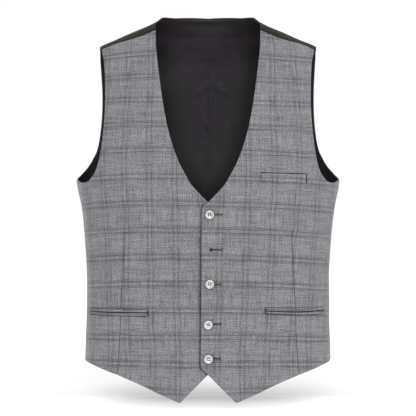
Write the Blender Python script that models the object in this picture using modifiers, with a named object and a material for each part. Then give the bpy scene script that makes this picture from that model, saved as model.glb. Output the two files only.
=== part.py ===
"""Suit waistcoat: single breasted, no collar, five buttonholes, in its hollow worn form.

The front faces -Y, up is +Z and the wearer's left is +X. The origin lies midway between the two points
where the neck edge crosses the shoulder ridges. All sizes are in metres.

Every cloth piece is a wall that follows one body form: rings of superellipse section, one for each row of
BODY_FORM. A piece's outline is drawn on the form, four-sided patches fill it, and the patches are then
given the cloth's thickness along the form's own normals, so that two walls stay parallel at a seam.
"""

import bmesh
import bpy
import numpy as np
from mathutils import Matrix, Vector

# Cloth
FRONT_WALL = 0.0022
BACK_WALL = 0.0012
LINING_WALL = 0.0010
WELT_WALL = 0.0016
JET_WALL = 0.0012
GAP = 0.0003

# Body form: rings of the section |x / half_width| ** SQUARENESS + |y / depth| ** SQUARENESS = 1
SQUARENESS = 2.4
#   height, half_width, front_depth, back_depth
BODY_FORM = np.array(
    [
        (-0.640, 0.2040, 0.1150, 0.104),
        (-0.560, 0.2035, 0.1130, 0.100),
        (-0.539, 0.2030, 0.1120, 0.097),
        (-0.496, 0.2015, 0.1100, 0.091),
        (-0.429, 0.2010, 0.1080, 0.084),
        (-0.391, 0.2025, 0.1100, 0.088),
        (-0.346, 0.2055, 0.1140, 0.095),
        (-0.310, 0.2095, 0.1175, 0.103),
        (-0.262, 0.2180, 0.1190, 0.113),
        (-0.200, 0.2180, 0.1140, 0.116),
        (-0.150, 0.2140, 0.1030, 0.112),
        (-0.090, 0.2080, 0.0830, 0.103),
        (-0.060, 0.1960, 0.0700, 0.098),
        (-0.043, 0.1800, 0.0600, 0.092),
        (-0.030, 0.1510, 0.0520, 0.087),
        (-0.018, 0.1240, 0.0442, 0.083),
        (-0.012, 0.1100, 0.0400, 0.080),
        (-0.006, 0.0967, 0.0350, 0.078),
        (0.000, 0.0860, 0.0300, 0.076),
        (0.006, 0.0815, 0.0270, 0.073),
        (0.013, 0.0785, 0.0240, 0.070),
        (0.020, 0.0765, 0.0200, 0.066),
    ]
)
FRONT, BACK = -1, 1

# Outlines on the form, as rows of (across, height), for the wearer's left half
SIDE_NECK = (0.0860, 0.0)
SHOULDER_TIP = (0.1800, -0.0430)
SEAM_NECK_END = (0.0864, -0.0170)
SEAM_TIP = (0.1751, -0.0490)
SHOULDER_SEAM = [SEAM_NECK_END, (0.1150, -0.0293), SEAM_TIP]
LAP_CORNER = (-0.0060, -0.3045)
NECKLINE = [
    LAP_CORNER,
    (0.0000, -0.3005),
    (0.0131, -0.2874),
    (0.0274, -0.2716),
    (0.0373, -0.2542),
    (0.0474, -0.2345),
    (0.0578, -0.2062),
    (0.0665, -0.1734),
    (0.0728, -0.1400),
    (0.0800, -0.0886),
    (0.0850, -0.0445),
    SEAM_NECK_END,
]
FRONT_UNDERARM = (0.1870, -0.2575)
FRONT_ARMHOLE = [
    FRONT_UNDERARM,
    (0.1815, -0.2470),
    (0.1765, -0.2290),
    (0.1722, -0.2030),
    (0.1690, -0.1735),
    (0.1673, -0.1400),
    (0.1682, -0.0985),
    (0.1712, -0.0680),
    SEAM_TIP,
]
SIDE_TOP, SIDE_HEM = -0.2618, -0.5605
FRONT_ARMHOLE_FOOT = [
    FRONT_UNDERARM,
    (0.1947, -0.2660),
    (0.2018, -0.2686),
    (0.2081, -0.2683),
    (0.2129, -0.2657),
    (0.2180, SIDE_TOP),
]
LAP_HEM_CORNER = (-0.0120, -0.5655)
FRONT_EDGE = [LAP_HEM_CORNER, (-0.0102, -0.3170), (-0.0095, -0.3100), LAP_CORNER]
FRONT_POINT = (0.0454, -0.6229)
DART_FOOT = (0.1475, -0.5795)
FRONT_HEM_TO_DART = [FRONT_POINT, (0.0764, -0.6097), (0.1100, -0.5943), DART_FOOT]
FRONT_HEM_TO_SIDE = [DART_FOOT, (0.1700, -0.5723), (0.1920, -0.5650), (0.2035, SIDE_HEM)]
DART_TOP = (0.1355, -0.3430)
DART = [DART_FOOT, (0.1430, -0.5190), (0.1412, -0.4675), (0.1370, -0.3880), DART_TOP]
CHEST_LINE_AT_DART = (0.1340, -0.2760)
BACK_NECK = [(0.0, 0.0125), (0.0543, 0.0121), (0.0765, 0.0099), (0.0822, 0.0042), SIDE_NECK]
BACK_UNDERARM = (0.1974, -0.2309)
BACK_ARMHOLE = [
    BACK_UNDERARM,
    (0.1885, -0.2115),
    (0.1835, -0.1876),
    (0.1801, -0.1587),
    (0.1787, -0.1200),
    (0.1797, -0.0831),
    (0.1809, -0.0637),
    (0.1808, -0.0480),
    SHOULDER_TIP,
]
BACK_ARMHOLE_FOOT = [
    BACK_UNDERARM,
    (0.2046, -0.2428),
    (0.2093, -0.2485),
    (0.2126, -0.2532),
    (0.2172, -0.2590),
    (0.2180, SIDE_TOP),
]
BACK_CHEST_HEIGHT = -0.2350
BACK_CHEST_LINE = [(0.0, BACK_CHEST_HEIGHT), (0.1100, -0.2345), BACK_UNDERARM]
BACK_HEM = [(0.0, -0.5560), (0.1500, -0.5590), (0.2035, SIDE_HEM)]

# Patch sizes, in cells
CELLS_LAP_TO_POINT, CELLS_POINT_TO_DART, CELLS_DART_TO_UNDERARM = 5, 6, 3
CELLS_FRONT_UNDERARM, CELLS_FRONT_DOWN, CELLS_FRONT_UP = 6, 16, 14
CELLS_BACK_NECK, CELLS_RIDGE, CELLS_BACK_UNDERARM = 7, 7, 5
CELLS_BACK_DOWN, CELLS_BACK_UP, CELLS_SHOULDER_STRIP = 12, 13, 4

# Where the fronts lap, the left one lies LAP_GAP over the right one and both lean away over LAP_FADE
LAP_GAP = 0.0004
LAP_LIFT = (FRONT_WALL + LAP_GAP) / 2
LAP_FADE = 0.075
# The dart's stitched line lies a little lower than the cloth beside it
DART_DIP = 0.0007
DART_REACH = 0.006
DART_TAPER = 0.045

# Chest welt on the wearer's left: rows of (across, top height, foot height)
WELT_ENDS = [(0.0846, -0.2541, -0.2677), (0.1580, -0.2558, -0.2698)]
WELT_CELLS = 6
# Lower pockets: rows of (across, top height, mouth height, foot height)
LEFT_POCKET = [
    (0.0921, -0.4704, -0.4757, -0.4797),
    (0.1555, -0.4718, -0.4783, -0.4829),
    (0.1870, -0.4727, -0.4772, -0.4822),
]
RIGHT_POCKET = [
    (0.0966, -0.4733, -0.4786, -0.4838),
    (0.1500, -0.4738, -0.4789, -0.4840),
    (0.1925, -0.4742, -0.4790, -0.4838),
]
JET_CELLS = 15
# How wide each mouth gapes at its middle, the share of that left at its ends, and how proud a jet's fold is
LEFT_MOUTH, RIGHT_MOUTH = 0.0011, 0.0007
MOUTH_END = 0.25
JET_CROWN = 0.0004

# Buttons: 24 ligne, turned, with a raised rim and four holes
BUTTON_RADIUS = 0.0075
BUTTON_THICKNESS = 0.0030
BUTTON_RIM_WIDTH = 0.0021
BUTTON_DISH = 0.0008
BUTTON_EDGE = 0.0008
BUTTON_STEPS = 20
HOLE_RADIUS = 0.00085
HOLE_OFFSET = 0.0017
HOLE_STEPS = 8
BUTTONS = {
    "button_1": (0.0027, -0.3205),
    "button_3": (0.0027, -0.4324),
    "button_4": (0.0003, -0.4976),
    "button_5": (0.0006, -0.5524),
}

# How finely curves are sampled, points are welded and faces are shaded
CURVE_SAMPLES = 240
SLOPE_STEP = 1e-5
NEWTON_STEPS = 12
WELD = 1e-5
SHARP_ANGLE = 0.6

#   name: (colour, roughness)
MATERIALS = {
    "wool_check": ((0.245, 0.245, 0.262), 0.92),
    "back_satin": ((0.055, 0.050, 0.050), 0.42),
    "lining": ((0.032, 0.029, 0.033), 0.45),
    "button_pearl": ((0.820, 0.800, 0.760), 0.22),
}


# ---------------------------------------------------------------- curves and the body form


def smooth_curve(stops, values):
    """A function that runs smoothly through the values at these stops and doesn't overshoot them."""
    stops, values = np.asarray(stops, float), np.asarray(values, float)
    values = values.reshape(len(stops), -1)
    widths = np.diff(stops)[:, None]
    slopes = np.diff(values, axis=0) / widths
    turning = slopes[:-1] * slopes[1:] <= 0
    total = np.where(turning, 1.0, slopes[:-1] + slopes[1:])
    inner = np.where(turning, 0.0, 2 * slopes[:-1] * slopes[1:] / total)
    tangents = np.vstack([slopes[:1], inner, slopes[-1:]])

    def at(places):
        places = np.asarray(places, float)
        flat = places.reshape(-1)
        i = np.clip(np.searchsorted(stops, flat) - 1, 0, len(stops) - 2)
        width = widths[i]
        t = (flat - stops[i])[:, None] / width
        found = (
            (2 * t**3 - 3 * t**2 + 1) * values[i]
            + (t**3 - 2 * t**2 + t) * width * tangents[i]
            + (3 * t**2 - 2 * t**3) * values[i + 1]
            + (t**3 - t**2) * width * tangents[i + 1]
        )
        return found.reshape(places.shape + (values.shape[1],))

    return at


body_sizes = smooth_curve(BODY_FORM[:, 0], BODY_FORM[:, 1:])


def form_value(points):
    """Nought on the body form, less inside it and more outside."""
    across, back, height = np.moveaxis(points, -1, 0)
    half_width, front_depth, back_depth = np.moveaxis(body_sizes(height), -1, 0)
    depth = np.where(back < 0, front_depth, back_depth)
    return np.abs(across / half_width) ** SQUARENESS + np.abs(back / depth) ** SQUARENESS - 1


def form_slope(points):
    """How form_value grows along each axis."""
    steps = SLOPE_STEP * np.eye(3)
    growth = [form_value(points + step) - form_value(points - step) for step in steps]
    return np.stack(growth, axis=-1) / (2 * SLOPE_STEP)


def outward(points):
    """The body form's unit normals."""
    slope = form_slope(points)
    return slope / np.linalg.norm(slope, axis=-1, keepdims=True)


def onto_form(points):
    """The points moved along the form's slope until they lie on it."""
    points = np.array(points, float)
    for _ in range(NEWTON_STEPS):
        slope = form_slope(points)
        steepness = (slope**2).sum(axis=-1, keepdims=True)
        points -= form_value(points)[..., None] * slope / steepness
    return points


def on_face(rows, face):
    """The points of the form's FRONT or BACK at these rows of (across, height)."""
    across, height = np.asarray(rows, float).T
    half_width, front_depth, back_depth = np.moveaxis(body_sizes(height), -1, 0)
    depth = front_depth if face == FRONT else back_depth
    left_over = np.clip(1 - np.abs(across / half_width) ** SQUARENESS, 0, 1)
    return np.stack([across, face * depth * left_over ** (1 / SQUARENESS), height], axis=-1)


# ---------------------------------------------------------------- edges and patches


def lengths_along(points):
    """How far along the polyline each point lies."""
    steps = np.linalg.norm(np.diff(points, axis=0), axis=1)
    return np.concatenate([[0.0], np.cumsum(steps)])


def edge(points, cells):
    """cells + 1 points at even distances along the smooth curve through these, on the form."""
    points = np.asarray(points, float)
    run = lengths_along(points)
    fine = onto_form(smooth_curve(run, points)(np.linspace(0, run[-1], CURVE_SAMPLES)))
    run = lengths_along(fine)
    stops = np.linspace(0, run[-1], cells + 1)
    return onto_form(np.stack([np.interp(stops, run, column) for column in fine.T], axis=-1))


def joined(*edges):
    """Edges that follow each other, as one."""
    return np.concatenate([edges[0]] + [later[1:] for later in edges[1:]])


def patch(bottom, top, left, right):
    """A grid of points on the form that fills four edges. Left and right run from bottom to top."""
    u = np.linspace(0, 1, len(bottom))[None, :, None]
    v = np.linspace(0, 1, len(left))[:, None, None]
    between_rows = (1 - v) * bottom[None] + v * top[None]
    between_sides = (1 - u) * left[:, None] + u * right[:, None]
    corners = (1 - v) * ((1 - u) * bottom[0] + u * bottom[-1]) + v * ((1 - u) * top[0] + u * top[-1])
    grid = onto_form(between_rows + between_sides - corners)
    grid[0], grid[-1], grid[:, 0], grid[:, -1] = bottom, top, left, right
    return grid


def side_seam(cells, face):
    """The side seam from hem to underarm, half a gap to this face's side."""
    heights = np.linspace(SIDE_HEM, SIDE_TOP, cells + 1)
    half_width = body_sizes(heights)[:, 0]
    return np.stack([half_width, np.full(cells + 1, face * GAP / 2), heights], axis=-1)


def clear_of_seam(points, shift):
    """Points on the form, moved by this shift and put back on the form."""
    return onto_form(points + np.asarray(shift))


# ---------------------------------------------------------------- panels


def front_patches():
    """The wearer's left front in three patches: lap to dart, dart to side, and chest to shoulder."""
    down = CELLS_FRONT_DOWN
    lap_edge = edge(on_face(FRONT_EDGE, FRONT), down)
    side_edge = side_seam(down, FRONT)
    dart_edge = edge(on_face([*DART, CHEST_LINE_AT_DART], FRONT), down)

    cutaway = edge(on_face([LAP_HEM_CORNER, FRONT_POINT], FRONT), CELLS_LAP_TO_POINT)
    hem_to_dart = edge(on_face(FRONT_HEM_TO_DART, FRONT), CELLS_POINT_TO_DART)
    outer_cells = CELLS_DART_TO_UNDERARM + CELLS_FRONT_UNDERARM
    hem_to_side = edge([*on_face(FRONT_HEM_TO_SIDE[:-1], FRONT), side_edge[0]], outer_cells)

    chest_cells = CELLS_LAP_TO_POINT + CELLS_POINT_TO_DART
    chest_to_dart = edge(on_face([LAP_CORNER, CHEST_LINE_AT_DART], FRONT), chest_cells)
    dart_to_underarm = edge(on_face([CHEST_LINE_AT_DART, FRONT_UNDERARM], FRONT), CELLS_DART_TO_UNDERARM)
    foot = [*on_face(FRONT_ARMHOLE_FOOT[:-1], FRONT), side_edge[-1]]
    armhole_foot = edge(foot, CELLS_FRONT_UNDERARM)

    shoulder_cells = chest_cells + CELLS_DART_TO_UNDERARM
    seam = clear_of_seam(edge(on_face(SHOULDER_SEAM, FRONT), shoulder_cells), (0, -GAP / 2, 0))
    neckline = edge([*on_face(NECKLINE[:-1], FRONT), seam[0]], CELLS_FRONT_UP)
    armhole = edge([*on_face(FRONT_ARMHOLE[:-1], FRONT), seam[-1]], CELLS_FRONT_UP)
    return [
        patch(joined(cutaway, hem_to_dart), chest_to_dart, lap_edge, dart_edge),
        patch(hem_to_side, joined(dart_to_underarm, armhole_foot), dart_edge, side_edge),
        patch(joined(chest_to_dart, dart_to_underarm), seam, neckline, armhole),
    ]


def centre_back(start, end, cells):
    """The centre back seam between two heights, half a gap to the wearer's left."""
    rows = [(GAP / 2, height) for height in np.linspace(start, end, cells + 1)]
    return on_face(rows, BACK)


def back_patches():
    """The left half of the back in three patches: below the arm, above it, and over the shoulder."""
    down, up = CELLS_BACK_DOWN, CELLS_BACK_UP
    neck_height, hem_height = BACK_NECK[0][1], BACK_HEM[0][1]
    lower_centre = centre_back(hem_height, BACK_CHEST_HEIGHT, down)
    upper_centre = centre_back(BACK_CHEST_HEIGHT, neck_height, up)
    side_edge = side_seam(down, BACK)

    inner_cells = CELLS_BACK_NECK + CELLS_RIDGE
    hem_cells = inner_cells + CELLS_BACK_UNDERARM
    hem = edge([lower_centre[0], *on_face(BACK_HEM[1:-1], BACK), side_edge[0]], hem_cells)
    chest = edge([upper_centre[0], *on_face(BACK_CHEST_LINE[1:], BACK)], inner_cells)
    foot = [*on_face(BACK_ARMHOLE_FOOT[:-1], BACK), side_edge[-1]]
    armhole_foot = edge(foot, CELLS_BACK_UNDERARM)

    neck = edge([upper_centre[-1], *on_face(BACK_NECK[1:], BACK)], CELLS_BACK_NECK)
    ridge = edge(on_face([SIDE_NECK, SHOULDER_TIP], BACK), CELLS_RIDGE)
    armhole = edge(on_face(BACK_ARMHOLE, BACK), up)

    seam = clear_of_seam(edge(on_face(SHOULDER_SEAM, FRONT), CELLS_RIDGE), (0, GAP / 2, 0))
    neck_over = edge([ridge[0], seam[0]], CELLS_SHOULDER_STRIP)
    tip_over = edge([ridge[-1], seam[-1]], CELLS_SHOULDER_STRIP)
    return [
        patch(hem, joined(chest, armhole_foot), lower_centre, side_edge),
        patch(chest, joined(neck, ridge), upper_centre, armhole),
        patch(ridge, seam, neck_over, tip_over),
    ]


def smooth_step(share):
    """0 below 0, 1 above 1, and an even S between them."""
    share = np.clip(share, 0, 1)
    return share * share * (3 - 2 * share)


def lap_lift(points, side):
    """How far the front stands off the form near the closing: out on the left, in on the right."""
    return side * LAP_LIFT * smooth_step(1 - np.abs(points[..., 0]) / LAP_FADE)


def dart_dip(points):
    """How far the dart's stitched line draws the left front in."""
    dart = smooth_curve([height for _, height in DART], [across for across, _ in DART])
    beside = np.abs(points[..., 0] - dart(points[..., 2])[..., 0])
    below_top = (DART_TOP[1] - points[..., 2]) / DART_TAPER
    return DART_DIP * smooth_step(1 - beside / DART_REACH) * smooth_step(below_top)


# ---------------------------------------------------------------- Blender objects


def add_grid(mesh, points):
    """Adds a grid to the bmesh, with its vertices at these rows of points."""
    rows, columns = points.shape[:2]
    made = bmesh.ops.create_grid(mesh, x_segments=columns - 1, y_segments=rows - 1, size=1)
    for vertex in made["verts"]:
        column = round((vertex.co.x + 1) / 2 * (columns - 1))
        row = round((vertex.co.y + 1) / 2 * (rows - 1))
        vertex.co = points[row, column]


def make_material(name):
    """A Principled material in the piece's colour."""
    colour, roughness = MATERIALS[name]
    material = bpy.data.materials.get(name) or bpy.data.materials.new(name)
    material.use_nodes = True
    shader = material.node_tree.nodes["Principled BSDF"]
    shader.inputs["Base Color"].default_value = (*colour, 1)
    shader.inputs["Roughness"].default_value = roughness
    shader.inputs["Metallic"].default_value = 0.0
    return material


def make_object(name, mesh, material, collection):
    """Turns the bmesh into a smooth-shaded object in the collection."""
    data = bpy.data.meshes.new(name)
    mesh.to_mesh(data)
    mesh.free()
    data.materials.append(make_material(material))
    data.shade_smooth()
    data.set_sharp_from_angle(angle=SHARP_ANGLE)
    made = bpy.data.objects.new(name, data)
    collection.objects.link(made)
    return made


def make_wall(name, patches, lift, wall, side, material, collection):
    """A cloth wall over these patches of the form: its outer face lies lift(points) off the form.

    side is 1 for the wearer's left and -1 for the right, which is the left mirrored.
    """
    mesh = bmesh.new()
    for points in patches:
        add_grid(mesh, points)
    bmesh.ops.remove_doubles(mesh, verts=mesh.verts, dist=WELD)
    bmesh.ops.triangulate(mesh, faces=mesh.faces, quad_method="SHORT_EDGE")
    doubled = bmesh.ops.extrude_face_region(mesh, geom=mesh.faces[:])
    inner_face = {part for part in doubled["geom"] if isinstance(part, bmesh.types.BMVert)}
    on_form = np.array([vertex.co for vertex in mesh.verts])
    depth = np.array([wall if vertex in inner_face else 0.0 for vertex in mesh.verts])
    moved = on_form + outward(on_form) * (lift(on_form) - depth)[:, None]
    for vertex, place in zip(mesh.verts, moved):
        vertex.co = place
    if side < 0:
        bmesh.ops.scale(mesh, vec=(-1, 1, 1), verts=mesh.verts)
    bmesh.ops.recalc_face_normals(mesh, faces=mesh.faces)
    return make_object(name, mesh, material, collection)


def make_strip(name, rows, lift, wall, side, collection):
    """A welt or jet: a narrow wall over rows of the form, each row a list of (across, height)."""
    grid = np.stack([onto_form(on_face(row, FRONT)) for row in rows])
    return make_wall(name, [grid], lift, wall, side, "wool_check", collection)


def make_chest_welt(collection):
    """The breast welt, on the wearer's left."""
    shares = np.linspace(0, 1, WELT_CELLS + 1)[:, None]
    start, end = np.array(WELT_ENDS)
    across, top, foot = ((1 - shares) * start + shares * end).T
    rows = [np.stack([across, height], axis=-1) for height in (foot, (top + foot) / 2, top)]

    def lift(points):
        return lap_lift(points, 1) + GAP + WELT_WALL

    make_strip("chest_welt", rows, lift, WELT_WALL, 1, collection)


def make_pocket(word, table, mouth_width, side, collection):
    """The upper and lower jet of a lower pocket, with its mouth between them."""
    table = np.array(table)
    across = edge(on_face(table[:, [0, 2]], FRONT), JET_CELLS)[:, 0]
    top, mouth, foot = smooth_curve(table[:, 0], table[:, 1:])(across).T
    bow = np.sin(np.pi * np.linspace(0, 1, JET_CELLS + 1))
    opening = mouth_width * (MOUTH_END + (1 - MOUTH_END) * bow)
    jets = {
        "upper": (mouth + opening / 2, top),
        "lower": (foot, mouth - opening / 2),
    }
    for place, (low, high) in jets.items():
        middle = (low + high) / 2
        rows = [np.stack([across, height], axis=-1) for height in (low, middle, high)]

        def lift(points, middle=middle):
            crown = np.interp(points[..., 0], across, middle)
            half = np.interp(points[..., 0], across, (high - low) / 2)
            proud = 1 - np.clip(np.abs(points[..., 2] - crown) / half, 0, 1)
            return lap_lift(points, side) + GAP + JET_WALL + JET_CROWN * proud

        make_strip(f"pocket_{word}_{place}_jet", rows, lift, JET_WALL, side, collection)


def button_profile():
    """Half the button's section, from the middle of its face round the rim to the middle of its back."""
    inner_rim = BUTTON_RADIUS - BUTTON_RIM_WIDTH
    return [
        (0.0, BUTTON_THICKNESS - BUTTON_DISH),
        (inner_rim - BUTTON_DISH, BUTTON_THICKNESS - BUTTON_DISH),
        (inner_rim, BUTTON_THICKNESS),
        (BUTTON_RADIUS - BUTTON_EDGE, BUTTON_THICKNESS),
        (BUTTON_RADIUS, BUTTON_THICKNESS - BUTTON_EDGE),
        (BUTTON_RADIUS, BUTTON_EDGE),
        (BUTTON_RADIUS - BUTTON_EDGE, 0.0),
        (0.0, 0.0),
    ]


def make_button(name, place, collection, cutters):
    """A turned four-hole button, its back GAP off the left front."""
    mesh = bmesh.new()
    corners = [mesh.verts.new((radius, 0, height)) for radius, height in button_profile()]
    for start, end in zip(corners, corners[1:]):
        mesh.edges.new((start, end))
    button = make_object(name, mesh, "button_pearl", collection)
    turn = button.modifiers.new("turn", "SCREW")
    turn.steps = turn.render_steps = BUTTON_STEPS
    turn.use_merge_vertices = True
    turn.merge_threshold = WELD

    holes = bmesh.new()
    for across in (-HOLE_OFFSET, HOLE_OFFSET):
        for up in (-HOLE_OFFSET, HOLE_OFFSET):
            middle = Matrix.Translation((across, up, BUTTON_THICKNESS / 2))
            bmesh.ops.create_cone(
                holes,
                cap_ends=True,
                segments=HOLE_STEPS,
                radius1=HOLE_RADIUS,
                radius2=HOLE_RADIUS,
                depth=2 * BUTTON_THICKNESS,
                matrix=middle,
            )
    drill = make_object(f"{name}_holes", holes, "button_pearl", cutters)
    drill.hide_render = True
    drill.display_type = "WIRE"
    cut = button.modifiers.new("holes", "BOOLEAN")
    cut.operation = "DIFFERENCE"
    cut.solver = "EXACT"
    cut.object = drill

    on_form = on_face([place], FRONT)
    normal = outward(on_form)[0]
    off_form = LAP_LIFT + GAP
    facing = Vector(normal).to_track_quat("Z", "Y").to_matrix().to_4x4()
    button.matrix_world = Matrix.Translation(on_form[0] + off_form * normal) @ facing
    drill.matrix_world = button.matrix_world


# ---------------------------------------------------------------- the waistcoat


def clear_scene():
    """Removes the objects that a new file starts with."""
    for old in list(bpy.data.objects):
        bpy.data.objects.remove(old, do_unlink=True)


def new_collection(name):
    """An empty collection in the scene."""
    made = bpy.data.collections.new(name)
    bpy.context.scene.collection.children.link(made)
    return made


def main():
    """Builds every piece of the waistcoat."""
    clear_scene()
    waistcoat = new_collection("suit_waistcoat")
    cutters = new_collection("cutters")

    front, back = front_patches(), back_patches()
    for word, side in (("left", 1), ("right", -1)):

        def front_lift(points, side=side):
            return lap_lift(points, side) - dart_dip(points)

        lining_lift = -(BACK_WALL + GAP)
        make_wall(f"front_{word}", front, front_lift, FRONT_WALL, side, "wool_check", waistcoat)
        make_wall(f"back_{word}", back, lambda points: 0.0, BACK_WALL, side, "back_satin", waistcoat)
        lining = f"back_lining_{word}"
        make_wall(lining, back, lambda points: lining_lift, LINING_WALL, side, "lining", waistcoat)

    make_chest_welt(waistcoat)
    make_pocket("left", LEFT_POCKET, LEFT_MOUTH, 1, waistcoat)
    make_pocket("right", RIGHT_POCKET, RIGHT_MOUTH, -1, waistcoat)
    for name, place in BUTTONS.items():
        make_button(name, place, waistcoat, cutters)


main()
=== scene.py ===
"""The suit waistcoat's looks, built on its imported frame.

Every cloth piece is a thin closed shell on one body form, dressed with its own weave. Sizes are in metres,
up is +Z, the front faces -Y and the wearer's left is +X. The wearer's right is the left mirrored.
"""

import logging
import math
from collections.abc import Callable, Mapping, Sequence
from dataclasses import dataclass, field
from enum import Enum
from functools import cache, cached_property, partial, reduce

import bmesh
import bpy
import numpy as np
from mathutils import Matrix, Vector
from mathutils.kdtree import KDTree


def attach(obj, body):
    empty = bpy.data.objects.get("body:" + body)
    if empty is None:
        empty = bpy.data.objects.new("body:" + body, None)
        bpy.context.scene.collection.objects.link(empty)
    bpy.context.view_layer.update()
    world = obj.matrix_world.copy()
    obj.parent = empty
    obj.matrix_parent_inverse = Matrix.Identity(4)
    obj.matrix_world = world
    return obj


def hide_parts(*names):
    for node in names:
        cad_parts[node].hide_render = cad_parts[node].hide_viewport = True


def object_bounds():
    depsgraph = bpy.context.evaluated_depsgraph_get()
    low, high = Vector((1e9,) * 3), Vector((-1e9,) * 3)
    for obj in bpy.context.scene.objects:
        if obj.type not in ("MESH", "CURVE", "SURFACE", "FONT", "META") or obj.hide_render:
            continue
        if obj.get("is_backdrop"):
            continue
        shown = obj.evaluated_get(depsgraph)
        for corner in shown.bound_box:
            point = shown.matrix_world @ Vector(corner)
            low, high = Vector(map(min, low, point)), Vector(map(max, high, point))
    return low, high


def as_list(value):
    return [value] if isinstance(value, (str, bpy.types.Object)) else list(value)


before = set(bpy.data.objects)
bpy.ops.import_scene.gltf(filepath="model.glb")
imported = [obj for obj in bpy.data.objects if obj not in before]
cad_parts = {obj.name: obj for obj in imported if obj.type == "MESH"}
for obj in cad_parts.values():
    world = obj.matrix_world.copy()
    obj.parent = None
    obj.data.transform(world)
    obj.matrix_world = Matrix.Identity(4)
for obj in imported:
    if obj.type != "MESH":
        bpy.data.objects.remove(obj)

CAD_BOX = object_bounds()
LOG = logging.getLogger("waistcoat")

Array = np.ndarray
Row = tuple[float, ...]
Rows = Sequence[Row]
Piece = bpy.types.Object
Material = bpy.types.Material
Node = bpy.types.Node
Socket = bpy.types.NodeSocket
Value = Socket | float
Inputs = Mapping[str | int, Value | Row]
Surface = tuple[Socket, Socket, Socket]

BODY_NAME = "root"
CLOTH_MAP = "cloth"
FACING_MAP = "facing"
# named numbers that place painted shade: by the seams, in the hollow behind the fronts and on the buttons' rims
SEAM_SHADE_MAP = "seam"
HOLLOW_MAP = "hollow"
RING_MAP = "ring"
WELD = 1e-5
ROUND_STEPS = 28
NEWTON_STEPS = 7
SLOPE_STEP = 1e-5
CURVE_SAMPLES = 400


class Face(Enum):
    """A face of the body form, by the side of Y that it lies on."""

    FRONT = -1
    BACK = 1


class Side(Enum):
    """A half of the waistcoat, as the wearer has it, by the side of X that it lies on."""

    LEFT = 1
    RIGHT = -1

    @property
    def word(self) -> str:
        """The side's name as it stands in the names of pieces."""
        return self.name.lower()


# ---- curves and the body form


class SmoothCurve:
    """A curve that runs smoothly through its stops, doesn't overshoot them and goes on straight past them."""

    def __init__(self, stops: Sequence[float], values: Sequence) -> None:
        """Works out the slope at each stop.

        Args:
            stops: places along the curve, in rising order.
            values: the curve's value or values at each stop.
        """
        self.stops = np.asarray(stops, float)
        self.values = np.asarray(values, float).reshape(len(self.stops), -1)
        self.widths = np.diff(self.stops)[:, None]
        slopes = np.diff(self.values, axis=0) / self.widths
        turning = slopes[:-1] * slopes[1:] <= 0
        total = np.where(turning, 1.0, slopes[:-1] + slopes[1:])
        inner = np.where(turning, 0.0, 2 * slopes[:-1] * slopes[1:] / total)
        self.slopes = np.vstack([slopes[:1], inner, slopes[-1:]])

    def __call__(self, places: Array) -> Array:
        """The curve's values at these places.

        Args:
            places: places along the curve, in an array of any shape.

        Returns:
            The values, with one more axis than the places.
        """
        places = np.asarray(places, float)
        flat = places.reshape(-1)
        held = np.clip(flat, self.stops[0], self.stops[-1])
        i = np.clip(np.searchsorted(self.stops, held) - 1, 0, len(self.stops) - 2)
        width = self.widths[i]
        t = (held - self.stops[i])[:, None] / width
        found = (
            (2 * t**3 - 3 * t**2 + 1) * self.values[i]
            + (t**3 - 2 * t**2 + t) * width * self.slopes[i]
            + (3 * t**2 - 2 * t**3) * self.values[i + 1]
            + (t**3 - t**2) * width * self.slopes[i + 1]
        )
        past = (flat - held)[:, None]
        found = found + past * np.where(past < 0, self.slopes[0], self.slopes[-1])
        return found.reshape(places.shape + (self.values.shape[1],))


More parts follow.
